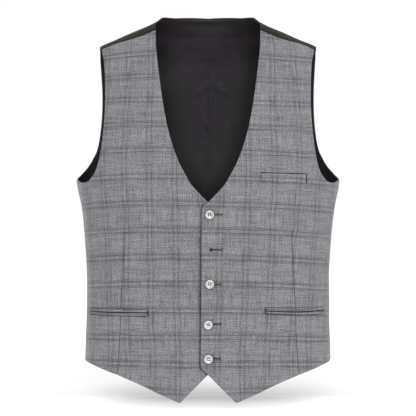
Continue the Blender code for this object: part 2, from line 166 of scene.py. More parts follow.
class BodyForm:
    """The worn waistcoat's form: rings |x / half_width| ** squareness + |y / depth| ** squareness = 1."""

    squareness: float = 2.4
    #   height, half_width, front_depth, back_depth
    rings: Rows = (
        (-0.640, 0.2040, 0.1150, 0.104),
        (-0.560, 0.2035, 0.1130, 0.100),
        (-0.539, 0.2030, 0.1120, 0.097),
        (-0.496, 0.2015, 0.1100, 0.091),
        (-0.429, 0.2010, 0.1080, 0.084),
        (-0.391, 0.2025, 0.1100, 0.088),
        (-0.346, 0.2055, 0.1140, 0.095),
        (-0.310, 0.2095, 0.1175, 0.103),
        (-0.262, 0.2180, 0.1190, 0.113),
        (-0.200, 0.2180, 0.1140, 0.116),
        (-0.150, 0.2140, 0.1030, 0.112),
        (-0.090, 0.2080, 0.0830, 0.103),
        (-0.060, 0.1960, 0.0700, 0.098),
        (-0.043, 0.1800, 0.0600, 0.092),
        (-0.030, 0.1510, 0.0520, 0.087),
        (-0.018, 0.1240, 0.0442, 0.083),
        (-0.012, 0.1100, 0.0400, 0.080),
        (-0.006, 0.0967, 0.0350, 0.078),
        (0.000, 0.0860, 0.0300, 0.076),
        (0.006, 0.0815, 0.0270, 0.073),
        (0.013, 0.0785, 0.0240, 0.070),
        (0.020, 0.0765, 0.0200, 0.066),
    )

    def __init__(self) -> None:
        """Makes the curve of the rings' sizes against their heights."""
        table = np.array(self.rings)
        self.sizes = SmoothCurve(table[:, 0], table[:, 1:])

    def value(self, points: Array) -> Array:
        """The form's own measure of where points lie.

        Args:
            points: points anywhere, in an array whose last axis is X, Y and Z.

        Returns:
            Nought on the form, less inside it and more outside.
        """
        across, back, height = np.moveaxis(points, -1, 0)
        half_width, front_depth, back_depth = np.moveaxis(self.sizes(height), -1, 0)
        depth = np.where(back < 0, front_depth, back_depth)
        shares = np.abs(across / half_width) ** self.squareness + np.abs(back / depth) ** self.squareness
        return shares - 1

    def slope(self, points: Array) -> Array:
        """How the form's value grows along each axis.

        Args:
            points: points anywhere.

        Returns:
            The growth along X, Y and Z at each of them.
        """
        steps = SLOPE_STEP * np.eye(3)
        growth = [self.value(points + step) - self.value(points - step) for step in steps]
        return np.stack(growth, axis=-1) / (2 * SLOPE_STEP)

    def outward(self, points: Array) -> Array:
        """The form's unit normals at these points."""
        slope = self.slope(points)
        return slope / np.linalg.norm(slope, axis=-1, keepdims=True)

    def onto(self, points: Array) -> Array:
        """Brings points onto the form.

        Args:
            points: points near the form.

        Returns:
            The points, moved along the form's slope until they lie on it.
        """
        points = np.array(points, float)
        for _ in range(NEWTON_STEPS):
            slope = self.slope(points)
            steepness = (slope**2).sum(axis=-1, keepdims=True)
            points -= self.value(points)[..., None] * slope / steepness
        return points

    def on_face(self, rows: Rows, face: Face) -> Array:
        """The points of one face at these rows.

        Args:
            rows: rows of (across, height).
            face: the face of the form.

        Returns:
            A point for each row.
        """
        across, height = np.asarray(rows, float).T
        half_width, front_depth, back_depth = np.moveaxis(self.sizes(height), -1, 0)
        depth = front_depth if face is Face.FRONT else back_depth
        left_over = np.clip(1 - np.abs(across / half_width) ** self.squareness, 0, 1)
        return np.stack([across, face.value * depth * left_over ** (1 / self.squareness), height], axis=-1)

    def round_length(self, points: Array) -> Array:
        """Measures round the rings.

        Args:
            points: points on the form, one to a row.

        Returns:
            How far round its ring each point lies from the middle of its face, with the sign of X.
        """
        sizes = self.sizes(points[:, 2])
        half_width = sizes[:, :1]
        depth = np.where(points[:, 1:2] < 0, sizes[:, 1:2], sizes[:, 2:3])
        turn = np.arctan2(np.abs(points[:, :1]) / half_width, np.abs(points[:, 1:2]) / depth)
        turns = turn * np.linspace(0, 1, ROUND_STEPS)
        sine, cosine = np.sin(turns), np.clip(np.cos(turns), 0, 1)
        reach = (sine**self.squareness + cosine**self.squareness) ** (-1 / self.squareness)
        steps = np.hypot(np.diff(half_width * reach * sine), np.diff(depth * reach * cosine))
        return np.sign(points[:, 0]) * steps.sum(axis=1)


BODY = BodyForm()


def smooth_step(share: Array) -> Array:
    """0 below 0, 1 above 1, and an even S between them."""
    share = np.clip(share, 0, 1)
    return share * share * (3 - 2 * share)


def lengths_along(points: Array) -> Array:
    """How far along the polyline each point lies."""
    steps = np.linalg.norm(np.diff(points, axis=0), axis=1)
    return np.concatenate([[0.0], np.cumsum(steps)])


def shares_along(points: Array) -> Array:
    """How far along the polyline each point lies, as a share of its length."""
    run = lengths_along(points)
    return run / run[-1]


# ---- creases and how the cloth stands


@dataclass(frozen=True)
class Crease:
    """A soft fold along a line on the form: a trough, as seen from outside, with a low ridge on each side."""

    face: Face
    rows: Rows
    depth: float
    width: float
    samples: int = 48
    reach: float = 3.2
    blunt_ends: float = 0.7
    ridge: float = 0.5
    spread: float = 1.6

    @cached_property
    def line(self) -> Array:
        """The crease's line on the form.

        Returns:
            Even points along it.
        """
        line = BODY.on_face(self.rows, self.face)
        run = lengths_along(line)
        return BODY.onto(SmoothCurve(run, line)(np.linspace(0, run[-1], self.samples)))

    def lift(self, points: Array) -> Array:
        """How far the crease moves each point of the form outwards.

        Args:
            points: points on the whole form, right side included.

        Returns:
            The move of each point along the form's normal.
        """
        line = self.line
        moved = np.zeros(len(points))
        margin = self.reach * self.width
        near = np.all((points > line.min(0) - margin) & (points < line.max(0) + margin), axis=1)
        if not near.any():
            return moved
        away = np.linalg.norm(points[near][:, None] - line[None], axis=2)
        nearest = away.argmin(axis=1)
        taper = np.sin(np.pi * (nearest + 0.5) / self.samples) ** self.blunt_ends
        t = away.min(axis=1) / self.width
        moved[near] = -self.depth * taper * (1 - self.ridge * t**2) * np.exp(-(t**2) / self.spread)
        return moved


def creases(face: Face, *table: tuple[float, float, Rows]) -> tuple[Crease, ...]:
    """Creases on one face from rows of (depth, width, line), which are in millimetres."""
    lines = [[(across / 1000, height / 1000) for across, height in rows] for _, _, rows in table]
    return tuple(Crease(face, line, depth / 1000, width / 1000) for line, (depth, width, _) in zip(lines, table))


BACK_CREASES = creases(
    Face.BACK,
    (0.5, 7, ((-52, -41), (-20, -23), (15, -20), (45, -31))),
    (0.4, 6, ((-36, -34), (0, -37), (30, -32))),
    (0.6, 7, ((-68, -62), (-48, -41), (-30, -29))),
    (0.9, 6, ((6, -92), (-8, -103), (-26, -116))),
    (0.9, 6, ((8, -92), (20, -104), (38, -114))),
    (0.8, 5, ((-8, -160), (1, -170), (8, -182))),
    (0.5, 5, ((1, -222), (0, -240), (2, -258))),
    (3.5, 17, ((-96, -90), (-86, -125), (-80, -172))),
    (3, 10, ((-150, -300), (-100, -330), (-50, -342), (-10, -338))),
    (3.5, 11, ((20, -352), (70, -345), (120, -322), (160, -296))),
    (2.4, 9, ((-166, -386), (-115, -372), (-70, -378))),
    (2.7, 9, ((40, -402), (85, -392), (140, -398), (172, -413))),
    (2.2, 10, ((-120, -432), (-60, -420), (10, -424), (55, -438))),
    (2.7, 10, ((-174, -222), (-152, -254), (-130, -302))),
    (3, 11, ((171, -214), (155, -243), (141, -288), (133, -332))),
    (1.9, 10, ((-150, -76), (-122, -110), (-100, -152))),
    (2.2, 9, ((141, -71), (119, -100), (104, -137))),
    (1.9, 12, ((60, -470), (75, -508), (80, -546))),
    (2.2, 13, ((-90, -478), (-101, -514), (-98, -548))),
    (1.4, 8, ((-40, -256), (-22, -290), (-16, -331))),
)
FRONT_CREASES = creases(
    Face.FRONT,
    (0.6, 8, ((78, -299), (51, -311), (24, -318))),
    (0.7, 8, ((-26, -322), (-58, -313), (-88, -297))),
    (0.8, 10, ((166, -232), (151, -262), (143, -300))),
    (0.9, 11, ((-164, -222), (-152, -256), (-147, -292))),
    (0.8, 9, ((197, -341), (180, -352), (160, -353))),
    (0.9, 10, ((-196, -363), (-177, -357), (-157, -362))),
)
LINING_CREASES = creases(
    Face.BACK,
    (1.2, 3, ((-66, 6.2), (0, 7.8), (66, 6.2))),
    (0.4, 7, ((-50, -58), (-22, -50), (10, -52), (36, -62))),
    (0.7, 4, ((3, -60), (5, -95), (4, -135), (1, -178))),
    (0.4, 6, ((48, -75), (55, -115), (48, -160))),
    (0.3, 6, ((-30, -130), (-40, -175), (-34, -225))),
)


def beside_line(points: Array, rows: Rows) -> Array:
    """How far points of the front are from a line, seen from the front.

    Args:
        points: points on the whole form.
        rows: the line's (across, height), on the wearer's left where across is above nought.

    Returns:
        The distances, which are endless on the back.
    """
    places, line = points[:, [0, 2]], np.asarray(rows, float)
    nearest = np.full(len(points), np.inf)
    for start, end in zip(line, line[1:]):
        along = end - start
        share = np.clip((places - start) @ along / (along @ along), 0, 1)
        nearest = np.minimum(nearest, np.linalg.norm(places - start - share[:, None] * along, axis=1))
    return np.where(points[:, 1] < 0, nearest, np.inf)


@dataclass(frozen=True)
class Groove:
    """A line along which one front's cloth is drawn in, or stands out where its depth is below nought."""

    side: Side
    rows: Rows
    depth: float
    width: float

    def lift(self, points: Array) -> Array:
        """How far the line moves each point of the form outwards."""
        return -self.depth * np.exp(-((beside_line(points, self.rows) / self.width) ** 2))


@dataclass(frozen=True)
class WornCloth:
    """How the worn cloth stands off the body form, in signed distances along the form's normals."""

    front_wall: float = 0.0022
    back_wall: float = 0.0012
    lining_wall: float = 0.0010
    gap: float = 0.0003
    lap_gap: float = 0.0004
    lap_fade: float = 0.075
    dart: Rows = (
        (-0.5795, 0.1475),
        (-0.5190, 0.1430),
        (-0.4675, 0.1412),
        (-0.3880, 0.1370),
        (-0.3430, 0.1355),
    )
    dart_groove: float = 0.0015
    dart_groove_width: float = 0.0013
    dart_draw: float = 0.0006
    dart_draw_width: float = 0.011
    dart_taper: float = 0.035
    dart_seam: float = 0.0013
    dart_seam_taper: float = 0.006
    #   by how much, below which height and over how much of it the painted shade of the dart's seam grows lighter
    dart_shade_fade: Row = (0.42, -0.385, 0.05)
    nape_height: float = -0.058
    nape_width: float = 0.015
    nape_turn: float = 0.03
    nape_ease: float = 0.0009
    dimple: float = 0.0010
    dimple_width: float = 0.0100
    buttons: Rows = ((0.0027, -0.3205), (0.0027, -0.4324), (0.0003, -0.4976), (0.0006, -0.5524))
    #   height of each slow wave, and the paces across, back and up and the start of its two sines
    waves: tuple[tuple[float, Row, Row], ...] = (
        (0.00045, (41, 0, 13, 0.6), (0, -17, 29, 1.1)),
        (0.00022, (73, 0, -31, 2.1), (0, 37, 57, 0.3)),
    )
    drawn_lines: tuple[Groove, ...] = (
        Groove(Side.RIGHT, ((-0.0036, -0.3020), (-0.0078, -0.3048), (-0.0112, -0.3110)), 0.0008, 0.0022),
        Groove(Side.RIGHT, ((-0.0112, -0.3110), (-0.0116, -0.3600)), 0.0010, 0.0024),
        Groove(Side.RIGHT, ((-0.0118, -0.3600), (-0.0122, -0.4600), (-0.0131, -0.5640)), 0.0020, 0.0027),
        Groove(Side.LEFT, ((-0.0095, -0.3100), (-0.0102, -0.3170), (-0.0120, -0.5655)), -0.0006, 0.0040),
    )

    @property
    def lap_lift(self) -> float:
        """How far the fronts stand off the form where they lap: out on the left and in on the right."""
        return (self.front_wall + self.lap_gap) / 2

    def dart_across(self, heights: Array) -> Array:
        """Where the dart lies at these heights."""
        table = np.array(self.dart)
        return SmoothCurve(table[:, 0], table[:, 1])(heights)[..., 0]

    def broad(self, points: Array) -> Array:
        """The slow unevenness of pressed and worn cloth.

        Args:
            points: points on the whole form.

        Returns:
            How far it moves each of them outwards.
        """
        lift = np.zeros(len(points))
        for high, *sines in self.waves:
            first, second = (np.sin(points @ np.array(paces) + start) for *paces, start in sines)
            lift += high * first * second
        return lift

    def nape(self, points: Array) -> Array:
        """The back's easy turn forward under the neck."""
        near = np.exp(-(((points[:, 2] - self.nape_height) / self.nape_width) ** 2))
        return -self.nape_ease * near * smooth_step(points[:, 1] / self.nape_turn)

    def folds(self, points: Array) -> Array:
        """The creases that all layers share."""
        creased = sum(crease.lift(points) for crease in BACK_CREASES + FRONT_CREASES)
        return self.broad(points) + self.nape(points) + creased

    def fronts(self, points: Array, side: Side) -> Array:
        """Where a front's outer face lies.

        Args:
            points: points on the whole form.
            side: the front that is asked for.

        Returns:
            Its distance from the form at each point.
        """
        across, height = np.abs(points[:, 0]), points[:, 2]
        lift = self.folds(points) + side.value * self.lap_lift * smooth_step(1 - across / self.lap_fade)
        beside = np.abs(across - self.dart_across(height))
        below = smooth_step((self.dart[-1][0] - height) / self.dart_taper) * (points[:, 1] < 0)
        lift -= self.dart_groove * (1 - smooth_step(beside / self.dart_groove_width)) * below
        lift -= self.dart_draw * (1 - smooth_step(beside / self.dart_draw_width)) * below
        for x, z in self.buttons:
            away = np.hypot(points[:, 0] - x, height - z) / self.dimple_width
            lift -= self.dimple * np.exp(-(away**2)) * (points[:, 1] < 0)
        return lift + sum(line.lift(points) for line in self.drawn_lines if line.side is side)

    def in_dart(self, points: Array) -> Array:
        """How much painted shade of the dart's seam lies at points, lighter lower down.

        Args:
            points: points on either half of the form.

        Returns:
            A number from 0 to 1 for each.
        """
        beside = np.abs(np.abs(points[:, 0]) - self.dart_across(points[:, 2]))
        below = smooth_step((self.dart[-1][0] - points[:, 2]) / self.dart_seam_taper) * (points[:, 1] < 0)
        # painted shade of the dart's seam, lighter lower down
        lighter_by, top, over = self.dart_shade_fade
        pressed = 1 - lighter_by * smooth_step((top - points[:, 2]) / over)
        return pressed * below * (1 - smooth_step(beside / self.dart_seam))

    def backs(self, points: Array) -> Array:
        """Where the back's outer face lies."""
        return self.folds(points)

    def linings(self, points: Array) -> Array:
        """Where the back lining's outer face lies: under the back, with small folds of its own."""
        own = sum(crease.lift(points) for crease in LINING_CREASES)
        return self.folds(points) - self.back_wall - self.gap + np.minimum(own, 0.5 * self.gap)

    def on_front(self, rows: Rows, side: Side) -> tuple[Array, Array]:
        """Points of a front's outer face.

        Args:
            rows: rows of (across, height).
            side: the front they are on.

        Returns:
            The points and the form's normals there.
        """
        on_form = BODY.on_face(rows, Face.FRONT)
        normals = BODY.outward(on_form)
        return on_form + normals * self.fronts(on_form, side)[:, None], normals


WORN = WornCloth()


# ---- how the check lies


@dataclass(frozen=True)
class CheckLay:
    """Where the check's groups of lines cross one front, which gives the cloth's own coordinates there."""

    #   height of every second row of the check at each place across
    row_heights: Rows
    #   height, and how far round columns 0, 2, 3 and 4 of the check lie there
    columns: Rows
    across: Row = (0.015, 0.080, 0.140, 0.190)
    repeat: float = 0.0416
    #   past this place across, the rows run on as they do there
    widest: float = 0.212
    column_numbers: Row = (0, 2, 3, 4)
    #   height, and how much cloth the dart takes up there
    dart_take: Rows = (
        (-0.600, 0.0070),
        (-0.540, 0.0080),
        (-0.497, 0.0100),
        (-0.411, 0.0070),
        (-0.368, 0.0040),
        (-0.343, 0.0),
    )

    def rows_down(self, points: Array) -> Array:
        """Counts the check's rows from the top.

        Args:
            points: points on the form.

        Returns:
            How many rows lie above each point, with parts of a row.
        """
        heights = np.array(self.row_heights)
        numbers = np.arange(0, 2 * len(heights), 2)
        counts = [SmoothCurve(-column, numbers)(-points[:, 2])[:, 0] for column in heights.T]
        nodes = np.array(self.across)
        across = np.clip(np.abs(points[:, 0]), 0, self.widest)
        total = np.zeros(len(points))
        for i, count in enumerate(counts):
            others = np.delete(nodes, i)
            weight = np.prod((across[:, None] - others) / (nodes[i] - others), axis=1)
            total += weight * count
        return total

    def on_cloth(self, points: Array, beyond_dart: Array) -> Array:
        """The cloth's own coordinates at these points.

        Args:
            points: points on the left half of the form, which stands for either side.
            beyond_dart: True for the points on the side seam's side of the dart.

        Returns:
            Rows of (across the cloth, up the cloth) in metres, nought at the middle of a check group.
        """
        table = np.array(self.columns)
        places = SmoothCurve(table[:, 0], table[:, 1:])(points[:, 2])
        heights, takes = np.array(self.dart_take).T
        take = SmoothCurve(heights, takes)(np.clip(points[:, 2], heights[0], heights[-1]))[:, 0]
        run = BODY.round_length(points) + np.where(beyond_dart, take, 0.0)
        marks = self.repeat * np.array(self.column_numbers)
        over = run - places[:, 0]
        for i in range(len(marks) - 1):
            pace = (marks[i + 1] - marks[i]) / (places[:, i + 1] - places[:, i])
            over = np.where(run >= places[:, i], marks[i] + (run - places[:, i]) * pace, over)
        over = np.where(run >= places[:, -1], marks[-1] + run - places[:, -1], over)
        return np.stack([over, -self.repeat * self.rows_down(points)], axis=-1)


CHECK_LAYS = {
    Side.LEFT: CheckLay(
        (
            (-0.0608, -0.0637, -0.0668, -0.0695),
            (-0.1388, -0.1406, -0.1422, -0.1437),
            (-0.2200, -0.2216, -0.2238, -0.2264),
            (-0.3042, -0.3060, -0.3089, -0.3125),
            (-0.3894, -0.3911, -0.3943, -0.3985),
            (-0.4748, -0.4761, -0.4789, -0.4829),
            (-0.5604, -0.5607, -0.5623, -0.5654),
            (-0.6464, -0.6444, -0.6436, -0.6444),
        ),
        (
            (-0.620, 0.0147, 0.0950, 0.1360, 0.1780),
            (-0.541, 0.0145, 0.0955, 0.1360, 0.1780),
            (-0.499, 0.0163, 0.0987, 0.1400, 0.1790),
            (-0.454, 0.0178, 0.1004, 0.1420, 0.1830),
            (-0.412, 0.0178, 0.1024, 0.1435, 0.1840),
            (-0.368, 0.0193, 0.1040, 0.1445, 0.1843),
            (-0.328, 0.0206, 0.1045, 0.1446, 0.1861),
            (-0.284, 0.0215, 0.1075, 0.1474, 0.1851),
            (-0.239, 0.0210, 0.1075, 0.1507, 0.1890),
            (-0.157, 0.0200, 0.1049, 0.1474, 0.1860),
            (-0.081, 0.0200, 0.1056, 0.1413, 0.1780),
            (-0.020, 0.0200, 0.1035, 0.1370, 0.1740),
        ),
    ),
    Side.RIGHT: CheckLay(
        (
            (-0.0570, -0.0578, -0.0610, -0.0665),
            (-0.1359, -0.1347, -0.1352, -0.1378),
            (-0.2178, -0.2166, -0.2171, -0.2200),
            (-0.3028, -0.3021, -0.3031, -0.3066),
            (-0.3889, -0.3884, -0.3899, -0.3936),
            (-0.4753, -0.4749, -0.4760, -0.4789),
            (-0.5620, -0.5611, -0.5609, -0.5618),
            (-0.6490, -0.6466, -0.6436, -0.6408),
        ),
        (
            (-0.620, 0.0070, 0.0890, 0.1300, 0.1700),
            (-0.539, 0.0072, 0.0896, 0.1310, 0.1711),
            (-0.497, 0.0069, 0.0928, 0.1330, 0.1729),
            (-0.452, 0.0095, 0.0928, 0.1340, 0.1750),
            (-0.411, 0.0094, 0.0923, 0.1343, 0.1740),
            (-0.368, 0.0096, 0.0937, 0.1333, 0.1733),
            (-0.328, 0.0100, 0.0937, 0.1324, 0.1716),
            (-0.284, 0.0124, 0.0949, 0.1360, 0.1748),
            (-0.240, 0.0110, 0.0952, 0.1375, 0.1760),
            (-0.157, 0.0100, 0.0947, 0.1329, 0.1710),
            (-0.081, 0.0090, 0.0930, 0.1301, 0.1680),
            (-0.020, 0.0090, 0.0930, 0.1310, 0.1680),
        ),
    ),
}


# ---- edges, patches and shells

RIM_STOPS = (0.0001, 0.00035, 0.0007, 0.0011, 0.0018)
CLOSE_SHARE = 1.1
CLOSE_REACH = 0.022


def graded(length: float, cells: int, fine_start: bool = True, fine_end: bool = True) -> Array:
    """Stops along a length, which lie closer towards a turned or sewn end.

    Args:
        length: the whole length.
        cells: the number of cells beside the rims' own.
        fine_start: whether the length starts at such an end.
        fine_end: whether it ends at one.

    Returns:
        The stops, from nought to the length.
    """
    head = [0.0, *RIM_STOPS[:-1]] if fine_start else []
    tail = [length - stop for stop in reversed([0.0, *RIM_STOPS[:-1]])] if fine_end else []
    low = RIM_STOPS[-1] if fine_start else 0.0
    high = length - RIM_STOPS[-1] if fine_end else length
    places = np.linspace(low, high, CURVE_SAMPLES)
    closeness = 1 + CLOSE_SHARE * fine_start * np.exp(-(places - low) / CLOSE_REACH)
    closeness += CLOSE_SHARE * fine_end * np.exp(-(high - places) / CLOSE_REACH)
    run = np.concatenate([[0.0], np.cumsum((closeness[1:] + closeness[:-1]) / 2)])
    return np.concatenate([head, np.interp(np.linspace(0, run[-1], cells + 1), run, places), tail])


def edge(points: Array, cells: int, fine_start: bool = True, fine_end: bool = True) -> Array:
    """Points along the smooth curve through these, on the form.

    Args:
        points: the points that the curve passes.
        cells: the number of even cells along it.
        fine_start: whether close cells come before them.
        fine_end: whether close cells come after them.

    Returns:
        The edge's points in order.
    """
    points = np.asarray(points, float)
    run = lengths_along(points)
    fine = BODY.onto(SmoothCurve(run, points)(np.linspace(0, run[-1], CURVE_SAMPLES)))
    run = lengths_along(fine)
    stops = graded(run[-1], cells, fine_start, fine_end)
    return BODY.onto(np.stack([np.interp(stops, run, column) for column in fine.T], axis=-1))


def joined(*edges: Array) -> Array:
    """Edges that follow each other, as one."""
    return np.concatenate([edges[0]] + [later[1:] for later in edges[1:]])


def patch(bottom: Array, top: Array, left: Array, right: Array) -> Array:
    """Fills four edges with a grid on the form.

    Args:
        bottom: the lower edge, from left to right.
        top: the upper edge, from left to right, with as many points.
        left: the left edge, from bottom to top.
        right: the right edge, from bottom to top, with as many points.

    Returns:
        The grid's points, in rows from the bottom up.
    """
    over = (shares_along(bottom) + shares_along(top))[None, :] / 2
    up = (shares_along(left) + shares_along(right))[:, None] / 2
    u = ((1 - up) * shares_along(bottom)[None] + up * shares_along(top)[None])[..., None]
    v = ((1 - over) * shares_along(left)[:, None] + over * shares_along(right)[:, None])[..., None]
    between_rows = (1 - v) * bottom[None] + v * top[None]
    between_sides = (1 - u) * left[:, None] + u * right[:, None]
    corners = (1 - v) * ((1 - u) * bottom[0] + u * bottom[-1]) + v * ((1 - u) * top[0] + u * top[-1])
    grid = BODY.onto(between_rows + between_sides - corners)
    grid[0], grid[-1], grid[:, 0], grid[:, -1] = bottom, top, left, right
    return grid


def add_grid(mesh: bmesh.types.BMesh, points: Array) -> None:
    """Adds a grid to the bmesh.

    Args:
        mesh: the bmesh that it joins.
        points: where its vertices go, row by row.
    """
    rows, columns = points.shape[:2]
    made = bmesh.ops.create_grid(mesh, x_segments=columns - 1, y_segments=rows - 1, size=1)
    for vertex in made["verts"]:
        column = round((vertex.co.x + 1) / 2 * (columns - 1))
        row = round((vertex.co.y + 1) / 2 * (rows - 1))
        vertex.co = points[row, column]


@dataclass(frozen=True)
class RoundedEdges:
    """The edges of a shell that are folded or pressed round to one radius."""

    lines: Sequence[Array]
    radius: float
    spacing: float = 0.00025

    def distances(self, points: Array, reach: float) -> Array:
        """Measures to the nearest of the edges.

        Args:
            points: points on the form.
            reach: the distance that stands for all longer ones.

        Returns:
            Each point's distance.
        """
        dense = []
        for line in self.lines:
            run = lengths_along(line)
            stops = np.arange(0, run[-1], self.spacing)
            dense += [np.stack([np.interp(stops, run, column) for column in line.T], axis=-1), line]
        dense = np.concatenate(dense)
        tree = KDTree(len(dense))
        for i, place in enumerate(dense):
            tree.insert(place, i)
        tree.balance()
        return np.array([min(tree.find(point)[2], reach) for point in points])


@dataclass
class Shell:
    """A closed wall of cloth over four-sided patches of the body form.

    The patches lie on the wearer's left, and a shell for the right is built there and mirrored.
    """

    name: str
    patches: list[Array]
    side: Side
    lift: Callable[[Array], Array]
    wall: float
    edges: list[RoundedEdges] = field(default_factory=list)
    swell: float = 0.0
    swell_width: float = 0.008

    def build(self) -> Piece:
        """Builds the shell.

        Returns:
            The object, with its inner faces on material index 1.
        """
        mesh = bmesh.new()
        for points in self.patches:
            add_grid(mesh, points)
        bmesh.ops.remove_doubles(mesh, verts=mesh.verts, dist=WELD)
        doubled = bmesh.ops.extrude_face_region(mesh, geom=mesh.faces[:])
        inner = {part for part in doubled["geom"] if isinstance(part, bmesh.types.BMVert)}
        for face in mesh.faces:
            face.material_index = int(all(vertex in inner for vertex in face.verts))
        self.on_form = np.array([vertex.co for vertex in mesh.verts])
        is_inner = np.array([vertex in inner for vertex in mesh.verts])
        mirror = np.array([self.side.value, 1, 1])
        real = self.on_form * mirror
        depth = np.zeros(len(real))
        nearest = np.full(len(real), self.swell_width)
        for rim in self.edges:
            away = rim.distances(self.on_form, self.swell_width)
            short = rim.radius - np.minimum(away, rim.radius)
            depth = np.maximum(depth, rim.radius - np.sqrt(rim.radius**2 - short**2))
            nearest = np.minimum(nearest, away)
        rise = self.swell * np.sin(np.pi * np.clip(nearest / self.swell_width, 0, 1)) ** 2
        outer_lift = self.lift(real)
        lifts = np.where(is_inner, outer_lift - self.wall + depth, outer_lift + rise - depth)
        moved = real + BODY.outward(self.on_form) * mirror * lifts[:, None]
        for vertex, place in zip(mesh.verts, moved):
            vertex.co = place
        bmesh.ops.recalc_face_normals(mesh, faces=mesh.faces)
        self.piece = make_object(self.name, mesh)
        return self.piece

    def lay_cloth(self, on_cloth: Callable[[Array, Array], Array]) -> None:
        """Gives the shell its map of the cloth's own coordinates.

        Args:
            on_cloth: gives them for points on the form, told which lie beyond the dart.
        """
        data = self.piece.data
        corners = np.empty(len(data.loops), int)
        data.loops.foreach_get("vertex_index", corners)
        totals = np.empty(len(data.polygons), int)
        data.polygons.foreach_get("loop_total", totals)
        faces = np.repeat(np.arange(len(totals)), totals)
        middles = np.zeros((len(totals), 3))
        np.add.at(middles, faces, self.on_form[corners])
        middles /= totals[:, None]
        beyond = middles[:, 0] > WORN.dart_across(np.clip(middles[:, 2], WORN.dart[0][0], WORN.dart[-1][0]))
        places = np.empty((len(corners), 2))
        for is_beyond in (False, True):
            laid = on_cloth(self.on_form, np.full(len(self.on_form), is_beyond))
            chosen = beyond[faces] == is_beyond
            places[chosen] = laid[corners[chosen]]
        layer = data.uv_layers.new(name=CLOTH_MAP)
        layer.data.foreach_set("uv", places.astype(np.float32).ravel())


def mark(piece: Piece, name: str, values: Array) -> None:
    """Gives a piece's vertices a named number each, which its material reads."""
    layer = piece.data.attributes.new(name, "FLOAT", "POINT")
    layer.data.foreach_set("value", values.astype(np.float32))


def make_object(name: str, mesh: bmesh.types.BMesh) -> Piece:
    """Turns a bmesh into a smooth-shaded object in the scene.

    Args:
        name: the object's name.
        mesh: its bmesh, which is freed.

    Returns:
        The object, at the origin.
    """
    data = bpy.data.meshes.new(name)
    mesh.to_mesh(data)
    mesh.free()
    data.shade_smooth()
    made = bpy.data.objects.new(name, data)
    bpy.context.scene.collection.objects.link(made)
    return made


def dress(piece: Piece, slot: str, *materials: Material) -> None:
    """Gives a piece its finishes, makes it ride on the body and reports it.

    Args:
        piece: the finished piece.
        slot: the record's material slot, which is not used.
        materials: its materials, in the order of its faces' material indices.
    """
    for material in materials:
        piece.data.materials.append(material)
    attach(piece, BODY_NAME)
    LOG.info("%s: %d vertices, %d faces", piece.name, len(piece.data.vertices), len(piece.data.polygons))


# ---- finishes


@dataclass(frozen=True)
class Fibres:
    """A noise that stands for one set of fibres in a cloth."""

    #   how long its features are across and up the cloth
    size: Row
    #   how much it tells in the cloth's mixed colour
    weight: float
    #   a place of its own in the noise
    layer: float = 0.0
    detail: float = 2.0
    roughness: float = 0.5


